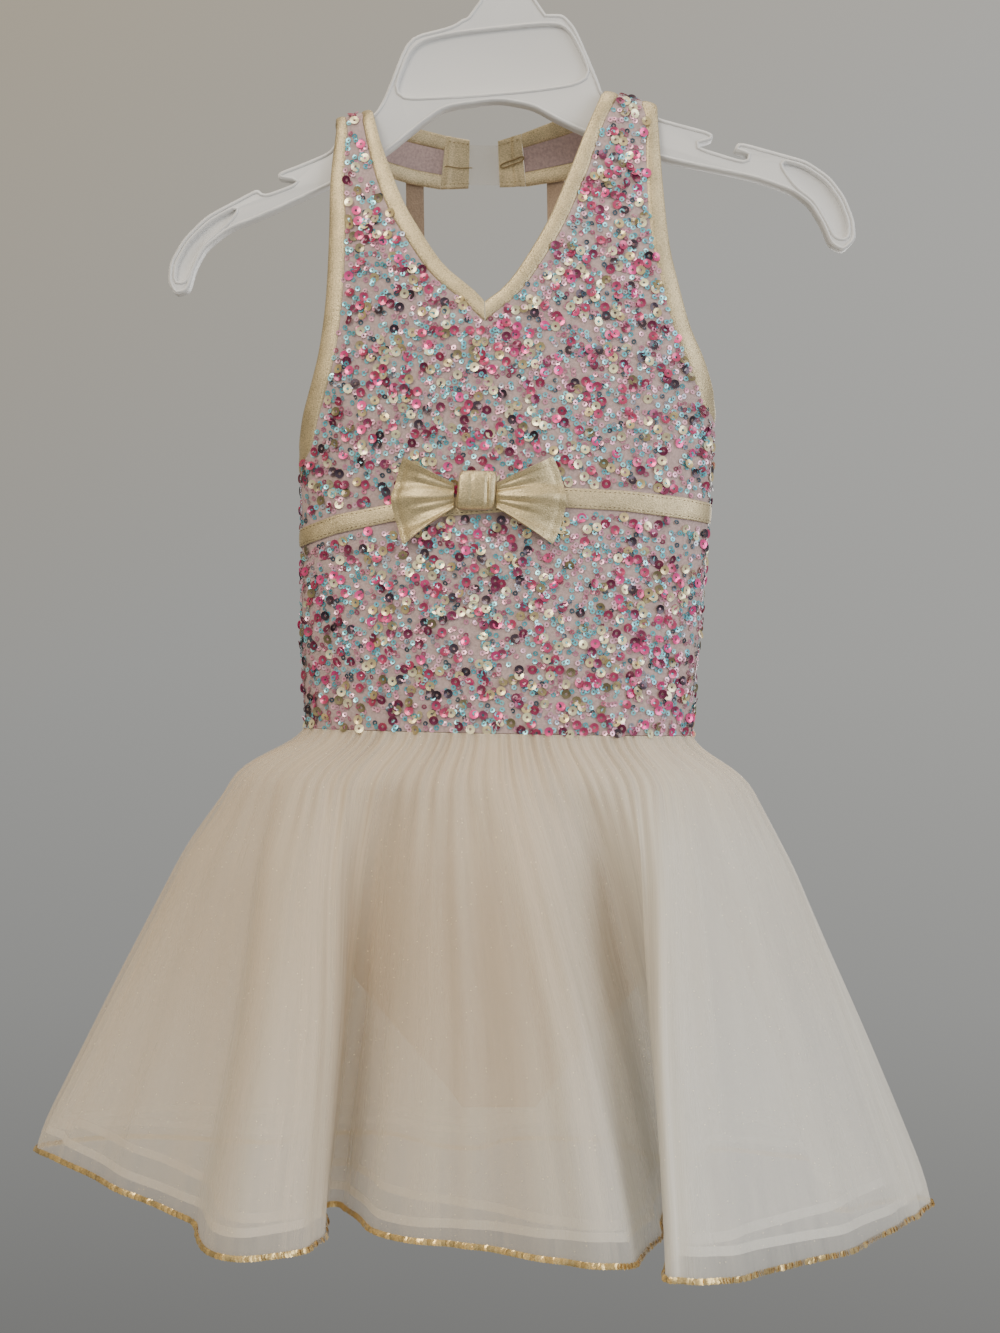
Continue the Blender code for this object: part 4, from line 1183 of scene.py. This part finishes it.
def stitched(name, edge_a, edge_b, shares, lift, thread):
    """Rows of stitches on both faces of a strip."""
    places, turns = [], []
    out = outer_side(edge_a, edge_b)
    for share in shares:
        line = edge_a + (edge_b - edge_a) * share
        for sign in (1, -1):
            spots, frames = stitch_row(line, out * sign, STITCH["pitch"], lift)
            places.append(spots)
            turns.append(frames)
    points, faces = stitch_shape(STITCH["length"], STITCH["width"])
    made = many(name + "_stitches", points, faces, np.vstack(places), np.vstack(turns))
    return finish_piece(made, name + "_stitches", thread)


def collar_rows(side):
    inside = COLLAR_EDGING - COLLAR_SEAM
    return np.array([collar_line(side, share) for share in np.linspace(inside, 1 - inside, 9)])


def collar(net, gold_cloth, thread, elastic):
    halves = []
    for side in ("left", "right"):
        made = wall(grid_sheet(collar_rows(side)), SHELL)
        finish_piece(made, f"collar_{side}_net", net, [f"collar_{side}"])
        halves.append((made, sheet_area(collar_rows(side))))

        neck_start, edge_start, neck_end, edge_end = np.array(TABS[side])
        along = np.linspace(0, 1, 25)[:, None]
        neck = neck_start + (neck_end - neck_start) * along
        edge = edge_start + (edge_end - edge_start) * along
        fold = np.exp(-(((along - TAB_FOLD[side]) / 0.09) ** 2))
        step = 1 / (1 + np.exp((along - TAB_FOLD[side]) * 40))
        out = np.array([0.0, -1.0, 0.0])
        lift = out * (0.5 * fold + 0.35 * step)
        made = rounded_strip(neck + lift, edge + lift, 1.9, 15, (0.1, 0.9))
        finish_piece(made, f"collar_tab_{side}_cloth", gold_cloth, [f"collar_tab_{side}"])
        stitched(f"collar_tab_{side}", neck + lift, edge + lift, (0.1, 0.9), 0.7, thread)

    rows = []
    for z in np.linspace(*STRIP["z"], 12):
        x = np.linspace(STRIP["x"][0], STRIP["x"][-1], 24)
        y = np.interp(x, STRIP["x"], STRIP["y"]) + 0.15 * np.sin(x * 1.7)
        rows.append(np.stack([x, y, 0 * x + z], axis=1))
    made = wall(grid_sheet(rows), 0.8)
    finish_piece(made, "closure_strip_elastic", elastic, ["closure_strip"])

    hook = tube(HOOK_THREAD, 0.32, 6)
    finish_piece(hook, "collar_thread_hook", thread)
    eye = tube(spline(EYE_THREAD, 6, closed=True), 0.4, 6, closed=True)
    finish_piece(eye, "collar_eye", thread)
    return halves


def tube(points, radius, sides, closed=False):
    """A round thread along a line."""
    points = np.array(points, float)
    if closed:
        points = np.vstack([points, points[:1]])
    along = unit(np.gradient(points, axis=0))
    if closed:
        along[0] = along[-1] = unit(points[1] - points[-2])
    side = unit(np.cross(along, np.array([0.0, 1.0, 0.02])))
    up = np.cross(along, side)
    turn = np.linspace(0, 2 * math.pi, sides + 1)
    rows = np.stack([points + (side * math.cos(a) + up * math.sin(a)) * radius for a in turn], axis=1)
    made = merged(grid_sheet(rows))
    if not closed:
        return closed_ends(made)
    edit(made, (bpy.ops.mesh.normals_make_consistent, {"inside": False}))
    return made


def back_straps(knit):
    straps = []
    for side, line in STRAPS.items():
        middle = spline(np.stack([line[name] for name in ("x", "y", "z", "slope")], axis=1), 12)
        across = np.stack([0 * middle[:, 3] + 1.0, middle[:, 3], 0 * middle[:, 3]], axis=1)
        half = STRAP_WIDTH / 2
        made = rounded_strip(middle[:, :3] - across * half, middle[:, :3] + across * half, 1.2, 7, ())
        name = f"back_strap_{side}"
        finish_piece(made, name + "_knit", knit, [name])
        length = np.linalg.norm(np.diff(middle[:, :3], axis=0), axis=1).sum()
        straps.append((made, length * MM))
    return straps


def empire_band(gold_cloth, thread):
    bottom, top = band_edges()
    made = rounded_strip(bottom, top, 1.15, 13, (0.13, 0.87))
    finish_piece(made, "empire_band_cloth", gold_cloth, ["empire_band"])
    stitched("empire_band", bottom, top, (0.13, 0.87), 0.42, thread)


# The bow


def wing_point(side, out, across, lift):
    sizes = WINGS[side]
    reach = sizes["tip_x"] + sizes["corner_x"] * abs(2 * across - 1) ** 2
    x = sizes["root_x"] + (reach - sizes["root_x"]) * out
    top = WING_ROOT_Z[0] + (WING_TIP_Z[0] - WING_ROOT_Z[0]) * out
    bottom = WING_ROOT_Z[1] + (WING_TIP_Z[1] - WING_ROOT_Z[1]) * out
    z = top + (bottom - top) * across
    return on_bodice(angle_at(x, z), z, lift)


def wing_lift(out, across):
    """Pleats that fan out of the knot, each sharper near it, and one more fold part way."""
    phase = 4 * math.pi * (across + 0.035 * math.sin(math.pi * out) * math.sin(5 * across))
    ridge = math.cos(phase) + 0.25 * math.cos(2 * phase + 1.0)
    pleat = (0.62 + 0.75 * out) * ridge * (1 - 0.25 * out * out)
    small = 0.28 * math.sin(12 * math.pi * across + 3.0 * out) * math.sin(math.pi * min(1.0, out * 1.4))
    hem = -0.25 * math.exp(-(((out - 0.90) / 0.035) ** 2))
    return KNOT_LIFT + 2.7 + 2.2 * math.sin(math.pi * out) + pleat + small + hem


def bow(gold_cloth, dark_thread):
    made_pieces = []
    for side in ("left", "right"):
        rows = []
        for out in np.linspace(0, 1, 30):
            lift = [wing_lift(out, across) for across in np.linspace(0, 1, WING_COLUMNS + 1)]
            row = [wing_point(side, out, k / WING_COLUMNS, lift[k]) for k in range(WING_COLUMNS + 1)]
            rows.append(row)
        made = wall(grid_sheet(rows), 1.3)
        name = f"bow_wing_{side}"
        finish_piece(made, name + "_cloth", gold_cloth, [name], 50.0)
        made_pieces.append((made, sheet_area(np.array(rows))))

        line, normals = [], []
        route = [(s, 0.07) for s in np.linspace(0.12, 0.91, 20)]
        route += [(0.91, s) for s in np.linspace(0.07, 0.93, 24)[1:-1]]
        route += [(s, 0.93) for s in np.linspace(0.91, 0.12, 20)]
        for out, across in route:
            here = np.array(wing_point(side, out, across, wing_lift(out, across)))
            along = np.array(wing_point(side, out + 0.01, across, wing_lift(out + 0.01, across))) - here
            down = np.array(wing_point(side, out, across + 0.01, wing_lift(out, across + 0.01))) - here
            normal = unit(np.cross(along, down))
            line.append(here)
            normals.append(normal * (-1 if normal[1] > 0 else 1))
        spots, frames = stitch_row(np.array(line), np.array(normals), 1.5, 0.66)
        points, faces = stitch_shape(0.95, 0.3)
        stitches = many(name + "_stitches", points, faces, spots, frames)
        finish_piece(stitches, name + "_stitches", dark_thread)

    front_y = on_bodice(0.0, KNOT["z"], KNOT_LIFT)[1]
    rows = []
    for share in np.linspace(-1, 1, KNOT_COLUMNS):
        x = KNOT["x"] + share * KNOT["width"] / 2
        small = (1 - abs(share) ** 6) ** 0.35 * 0.28 + 0.72
        crease = 1 - 0.16 * math.exp(-(((share - 0.55) / 0.07) ** 2))
        crease -= 0.07 * math.exp(-(((share + 0.28) / 0.09) ** 2))
        crease += 0.05 * math.exp(-(((share - 0.72) / 0.1) ** 2))
        ring = []
        for turn in np.linspace(0, 2 * math.pi, 49):
            c, s = math.cos(turn), math.sin(turn)
            deep = abs(c) ** 0.75 * (1 if c > 0 else -1) * (KNOT["deep"] / 2 - 0.1)
            high = abs(s) ** 0.6 * (1 if s > 0 else -1) * KNOT["height"] / 2
            wavy = crease * small if c > 0 else small
            y = front_y - KNOT["deep"] / 2 - deep * wavy
            ring.append((x + 0.9 * s * share * share, y, KNOT["z"] + high * small))
        rows.append(ring)
    knot = merged(grid_sheet(rows))
    closed_ends(knot)
    finish_piece(knot, "bow_knot_cloth", gold_cloth, ["bow_knot"], 60.0)
    return made_pieces


# The brief and the skirt


def brief(knit):
    made_pieces = []
    lines = spline(np.stack([BRIEF["height"], BRIEF["half"], BRIEF["depth"]], axis=1), BRIEF_FINER)
    for back in (False, True):
        rows = []
        for row, (height, half, depth) in enumerate(lines):
            leg_row = row / BRIEF_FINER - BRIEF_SIDE_ROWS
            reach = BRIEF_LEG_REACH - BRIEF_LEG_STEP * leg_row
            if leg_row < 0:
                reach = THICK_SEAM + (BRIEF_LEG_REACH - THICK_SEAM) * max(0.0, leg_row + 1)
            points = []
            for angle in seam_to_seam(reach, 48):
                turn = math.radians(angle)
                x = 1.0 + half * math.sin(turn) / math.sin(math.radians(reach))
                y = -depth * math.cos(turn)
                z = height + WAIST_TILT * x * max(0.0, 1 - row / BRIEF_FINER)
                points.append((x, -y if back else y, z))
            rows.append(points[::-1] if back else points)
        name = "brief_back" if back else "brief_front"
        made = wall(grid_sheet(rows[::-1]), SHELL)
        finish_piece(made, name + "_knit", knit, [name])
        made_pieces.append((made, sheet_area(np.array(rows))))
    return made_pieces


def skirt(finishes):
    """The three tulle layers, each with a front and a back panel."""
    panels = {}
    for layer in LAYERS:
        grid, drops = skirt_grid(layer)
        count = len(grid[0])
        lengths = np.linalg.norm(np.roll(grid, -1, axis=1) - grid, axis=2)
        for name, start, end in (("front", 0, FRONT_COLUMNS), ("back", FRONT_COLUMNS, count)):
            at = np.arange(start, end + 1) % count
            rows = grid[:, at]
            made = grid_sheet(rows[::-1])
            round_mm = CUT_HEM * np.linspace(start, end, len(at)) / count
            cut_width = CUT_HEM / count * (TOP_CUT + (1 - TOP_CUT) * drops[:, None])
            close = cut_width / np.maximum(lengths[:, at], 0.25)
            close = np.clip(close * (1 + 1.3 * turned_away(rows) ** 1.5), 0.7, 4.2)
            down = np.repeat(drops[:, None] * SKIRT_LENGTH, len(at), axis=1)
            cloth = np.stack([np.broadcast_to(round_mm, down.shape), down, 0 * down], axis=2)
            in_hem = (np.arange(len(drops)) >= len(drops) - HEM_ROWS).astype(float)
            edge = np.repeat(in_hem[:, None], len(at), axis=1)
            mesh = made.data
            mesh.attributes.new("cloth", "FLOAT_VECTOR", "POINT").data.foreach_set(
                "vector", cloth[::-1].astype(np.float32).ravel()
            )
            paleness = pale_share(rows[:, :, 0], drops[:, None])
            for label, values in (("close", close), ("edge", edge), ("pale", paleness)):
                mesh.attributes.new(label, "FLOAT", "POINT").data.foreach_set(
                    "value", values[::-1].astype(np.float32).ravel()
                )
            wall(made, 0.3)
            node_name = f"tulle_{layer}_{name}"
            finish_piece(made, node_name + "_net", finishes[layer], [node_name], 80.0)
            panels[layer, name] = (made, float(sheet_area(rows)))
    return panels


def turned_away(rows):
    """How far a grid's cloth turns from the front, where its folds bring the net together."""
    along = np.gradient(rows, axis=1)
    down = np.gradient(rows, axis=0)
    return 1 - np.abs(unit(np.cross(along, down))[:, :, 1])


def pale_share(x, drop):
    """How far the net's colour is moved from champagne to white: more towards the right side and lower
    down.
    """
    right = np.clip((x - 10.0) / 75.0, 0, 1)
    low = np.clip((drop - 0.45) / 0.5, 0, 1)
    top = np.clip(drop / 0.22, 0, 1)
    return np.clip(right * (0.35 + 0.65 * top) * 0.85 + 0.4 * low, 0, 1)


def sheet_area(rows):
    """The area of a grid of points, in square metres."""
    across = rows[:-1, 1:] - rows[:-1, :-1]
    down = rows[1:, :-1] - rows[:-1, :-1]
    return np.linalg.norm(np.cross(across, down), axis=2).sum() * MM * MM


def hem_trim(gold_trim):
    """A row of small gold sequins, each over the next, on the outer hem."""
    grid = skirt_grid("outer")[0]
    hem, above = grid[-1], grid[-4]
    loop = np.vstack([hem, hem[:1]])
    rise = np.vstack([above, above[:1]])
    up_line = unit(rise - loop)
    out_line = -np.vstack([inward(hem), inward(hem)[:1]])
    points, faces = disc_shape(TRIM["radius"], TRIM["thickness"], 8)
    split = FRONT_COLUMNS
    for name, first, last in (("front", 0, split), ("back", split, len(hem))):
        places, turns = [], []
        line = loop[first : last + 1] + up_line[first : last + 1] * TRIM["height"]
        spots, frames = stitch_row(line, out_line[first : last + 1], TRIM["pitch"], TRIM["lift"])
        tilt = RANDOM.uniform(-0.25, 0.25, len(spots)) - 0.25
        lean = RANDOM.uniform(-0.35, 0.35, len(spots)) + 0.25
        places.append(spots)
        turns.append(leaned(frames, tilt, lean))
        made = many("hem_trim", points, faces, np.vstack(places), np.vstack(turns))
        finish_piece(made, f"hem_trim_{name}_sequins", gold_trim, [f"hem_trim_{name}"], 30.0)


def leaned(frames, tilt, lean):
    """Frames turned about their first and then their second axis, by one angle for each."""
    first, second, third = frames[:, 0], frames[:, 1], frames[:, 2]
    c, s = np.cos(tilt)[:, None], np.sin(tilt)[:, None]
    second, third = second * c + third * s, third * c - second * s
    c, s = np.cos(lean)[:, None], np.sin(lean)[:, None]
    first, third = first * c - third * s, third * c + first * s
    return np.stack([first, second, third], axis=1)


def disc_shape(radius, thickness, sides):
    turn = np.linspace(0, 2 * math.pi, sides, endpoint=False)
    rim = [(radius * math.cos(a), radius * math.sin(a), 0.0) for a in turn]
    points = rim + [(0.0, 0.0, thickness), (0.0, 0.0, -thickness * 0.6)]
    faces = [(k, (k + 1) % sides, sides) for k in range(sides)]
    faces += [((k + 1) % sides, k, sides + 1) for k in range(sides)]
    return points, faces


# Sequins


def ring_shape(sizes):
    """A sequin: a thin ring with a three-cornered wall, dished towards its hole."""
    sides = sizes["sides"]
    turn = np.linspace(0, 2 * math.pi, sides, endpoint=False)
    points, faces = [], []
    for angle in turn:
        for radius, height in (
            (sizes["radius"], sizes["dish"]),
            (sizes["hole"], 0.0),
            ((sizes["radius"] + sizes["hole"]) / 2, sizes["dish"] / 2 - sizes["deep"]),
        ):
            points.append((radius * math.cos(angle), radius * math.sin(angle), height))
    for k in range(sides):
        a, b = 3 * k, 3 * ((k + 1) % sides)
        faces += [(a, b, b + 1, a + 1), (a + 1, b + 1, b + 2, a + 2), (a + 2, b + 2, b, a)]
    return points, faces


def scatter(rows, count, spacing, keep_out, avoid=None):
    """Seeded places on a grid of points, apart from each other and from its edges."""
    rows = np.array(rows, float)
    a, b, c = rows[:-1, :-1], rows[:-1, 1:], rows[1:, :-1]
    cross = np.cross(b - a, c - a)
    area = np.linalg.norm(cross, axis=2).ravel()
    share = area / area.sum()
    kept, outs, near = [], [], keep_out
    for cell in RANDOM.choice(len(area), size=count * 14, p=share):
        row, column = divmod(int(cell), rows.shape[1] - 1)
        u, v = RANDOM.random(2)
        corner = a[row, column]
        spot = corner + (b[row, column] - corner) * u + (c[row, column] - corner) * v
        if avoid is not None and avoid(spot):
            continue
        if kept and np.min(np.sum((np.array(kept) - spot) ** 2, axis=1)) < spacing**2:
            continue
        if len(near) and np.min(np.sum((near - spot) ** 2, axis=1)) < 0.81 * spacing**2 * 0.6:
            continue
        kept.append(spot)
        outs.append(unit(cross[row, column]))
        if len(kept) >= count:
            break
    return np.array(kept), np.array(outs)


def sequins(name, rows, sizes, colours, edges, tilt, lift, avoid=None, turned=1):
    area = sheet_area(np.array(rows, float)) * 1e4
    count = int(area * sizes["density"] / 100)
    spots, outs = scatter(rows, count, sizes["spacing"], edges, avoid)
    outs = outs * turned
    along = RANDOM.normal(size=spots.shape)
    frames = leaned(
        frames_on(outs, along),
        RANDOM.normal(0, tilt, len(spots)).clip(-2.2 * tilt, 2.2 * tilt),
        RANDOM.normal(0, tilt, len(spots)).clip(-2.2 * tilt, 2.2 * tilt),
    )
    heights = lift + RANDOM.uniform(-0.25, 0.35, len(spots))[:, None]
    shares = np.array([share for share, _ in colours])
    picked = RANDOM.choice(len(colours), size=len(spots), p=shares / shares.sum())
    tints = np.array([colour for _, colour in colours])[picked]
    tints = tints * RANDOM.uniform(0.8, 1.15, (len(spots), 1))
    points, faces = ring_shape(sizes)
    return many(name, points, faces, spots + outs * heights, frames, np.clip(tints, 0, 1))


# The hanger


def arc(radius, start, end):
    for angle in np.radians(np.linspace(start, end, HOOK_STEPS + 1)):
        yield (radius * math.cos(angle), radius * math.sin(angle) - HOOK_INNER)


def softened(points, share=0.3, steps=3):
    """The outline with each of its corners turned into a short curve."""
    points = np.array(points, float)
    found = []
    for k, corner in enumerate(points):
        before = corner + (points[k - 1] - corner) * share
        after = corner + (points[(k + 1) % len(points)] - corner) * share
        for t in np.linspace(0, 1, steps + 1):
            found.append(before * (1 - t) ** 2 + corner * 2 * t * (1 - t) + after * t**2)
    return np.array(found)


def slab(outline, front_y, back_y):
    """A flat outline in front view, given thickness along Y."""
    count = len(outline)
    mesh = bmesh.new()
    rings = []
    for y in (front_y, back_y):
        rings.append([mesh.verts.new((x * MM, y * MM, z * MM)) for x, z in outline])
    mesh.faces.new(rings[0])
    mesh.faces.new(rings[1][::-1])
    for k in range(count):
        far = (k + 1) % count
        mesh.faces.new((rings[0][k], rings[1][k], rings[1][far], rings[0][far]))
    bmesh.ops.recalc_face_normals(mesh, faces=mesh.faces)
    data = bpy.data.meshes.new("slab")
    mesh.to_mesh(data)
    mesh.free()
    made = bpy.data.objects.new("slab", data)
    bpy.context.scene.collection.objects.link(made)
    return made


def hanger(plastic):
    outline = np.vstack(
        [
            softened(list(HANGER_RIGHT) + list(HANGER_LEFT))[2:-2],
            STEM_LEFT,
            list(arc(HOOK_INNER, HOOK_START, HOOK_END)),
            HOOK_TIP[::-1],
            list(arc(HOOK_OUTER, HOOK_END, HOOK_START)),
            STEM_RIGHT,
        ]
    )
    face = HANGER_THICKNESS / 2
    body = slab(outline, -face, face)
    for recess in RECESSES.values():
        for sign in (-1, 1):
            near, far = sorted((sign * (face - RECESS_DEPTH), sign * (face + 1.0)))
            cutter = slab(softened(recess, 0.35, 4), near, far)
            apply(body, "BOOLEAN", operation="DIFFERENCE", solver="EXACT", object=cutter)
            bpy.data.objects.remove(cutter)
    apply(
        body, "BEVEL", width=0.9 * MM, segments=3, limit_method="ANGLE", angle_limit=math.radians(40)
    )
    rims = [body]
    for line in [outline] + [softened(recess, 0.35, 4) for recess in RECESSES.values()]:
        sign = 1.0 if line is outline else -1.0
        for y in (-face + 0.15, face - 0.15):
            rims.append(tube(rim_line(line, 1.1 * sign, y), 0.95, 8, closed=True))
    body = joined(rims)
    finish_piece(body, "hanger_body", plastic, ["hanger"], 45.0)
    return body


def rim_line(outline, inset, y):
    """The outline in front view, moved in by an inset, at a depth."""
    line = spread_evenly(np.vstack([outline, outline[:1]]), int(len(outline) * 1.5))[:-1]
    ahead = unit(np.roll(line, -1, axis=0) - np.roll(line, 1, axis=0))
    area = np.sum(line[:, 0] * np.roll(line[:, 1], -1) - np.roll(line[:, 0], -1) * line[:, 1])
    inner = np.stack([-ahead[:, 1], ahead[:, 0]], axis=1) * (1 if area > 0 else -1)
    line = line + inner * inset
    return np.stack([line[:, 0], 0 * line[:, 0] + y, line[:, 1]], axis=1)


# The whole scene


def under_band(spot):
    """Whether a place on the front is where the gold band or the bow's knot lies."""
    bottom, top = (np.interp(spot[0], BAND["x"], BAND[name]) for name in ("bottom", "top"))
    if bottom - 1.9 < spot[2] < top + 1.9:
        return True
    return abs(spot[0] - KNOT["x"]) < 9.0 and abs(spot[2] - KNOT["z"]) < 9.0


def all_sequins():
    large, small = sequin_finish("large_sequins", 0.6), sequin_finish("small_sequins", 0.45)
    surfaces = []
    for side in ("left", "right"):
        rows = front_half(side)
        inner = rows[VEE_ROW * FINER :, 0]
        edges = np.vstack([rows[ARMHOLE_ROW[side] * FINER :, -1], inner])
        surfaces.append((f"front_{side}", rows, edges, under_band, -1 if side == "left" else 1))
    rows = back_rows()
    surfaces.append(("back", rows, rows[-1], None, 1))
    for side in ("left", "right"):
        rows = collar_rows(side)
        edges = np.vstack([rows[0], rows[-1], rows[:, -1]])
        surfaces.append((f"collar_{side}", rows, edges, None, 1 if side == "left" else -1))
    for name, rows, edges, avoid, turned in surfaces:
        for kind, sizes, colours, finish, lift in (
            ("large", LARGE_SEQUIN, LARGE_COLOURS, large, 1.15),
            ("small", SMALL_SEQUIN, SMALL_COLOURS, small, 0.85),
        ):
            made = sequins(f"{name}_{kind}_sequins", rows, sizes, colours, edges, 0.22, lift, avoid, turned)
            finish_piece(made, made.name, finish, (), 30.0)


GLITTER = {"scale": 420.0, "size": 0.11, "kept": 0.80, "colour": (1.0, 0.90, 0.66)}
FAINT = {"scale": 420.0, "size": 0.09, "kept": 0.96, "colour": (1.0, 0.97, 0.90)}

studio()
net_ground = plain("net_ground", (0.50, 0.37, 0.36), 0.8, 0.5, 700.0, Sheen_Weight=0.2)
gold_lame = gold("gold_lame", (0.62, 0.51, 0.31), 0.42, 0.4)
bow_gold = gold("gold_lame_bow", (0.60, 0.49, 0.28), 0.30, 0.35)
gold_thread = plain("gold_thread", (0.30, 0.22, 0.10), 0.6)
brown_thread = plain("brown_thread", (0.12, 0.08, 0.04), 0.6)
clear_elastic = plain("clear_elastic", (0.80, 0.77, 0.70), 0.25, Alpha=0.25)
nude_knit = plain("nude_knit", (0.56, 0.40, 0.27), 0.85, 0.4, 1100.0, Sheen_Weight=0.2)
# the straps' knit is the nude knit darkened by about a third: painted shade on the back straps
strap_knit_painted_shade = plain("strap_knit_painted_shade", (0.36, 0.26, 0.18), 0.85, 0.4, 1100.0, Sheen_Weight=0.2)
white_plastic = plain("hanger_white", (0.70, 0.70, 0.70), 0.38)
trim_gold = gold("gold_trim_sequins", (0.68, 0.50, 0.22), 0.22, 0.1)
layer_finishes = {
    "outer": tulle("tulle_champagne", (0.86, 0.83, 0.76), (0.84, 0.70, 0.52), 0.34, GLITTER),
    "middle": tulle("tulle_white_middle", (0.93, 0.93, 0.92), (0.90, 0.84, 0.74), 0.36, FAINT, 0.6),
    "inner": tulle("tulle_white_inner", (0.93, 0.93, 0.92), (0.90, 0.83, 0.73), 0.36, FAINT, 0.6),
}

bodice_panels = bodice(net_ground)
bindings(gold_lame, gold_thread)
collar_halves = collar(net_ground, gold_lame, gold_thread, clear_elastic)
strap_pieces = back_straps(strap_knit_painted_shade)
empire_band(gold_lame, brown_thread)
bow_wings = bow(bow_gold, brown_thread)
brief_panels = brief(nude_knit)
skirt_panels = skirt(layer_finishes)
hem_trim(trim_gold)
all_sequins()
hanger(white_plastic)
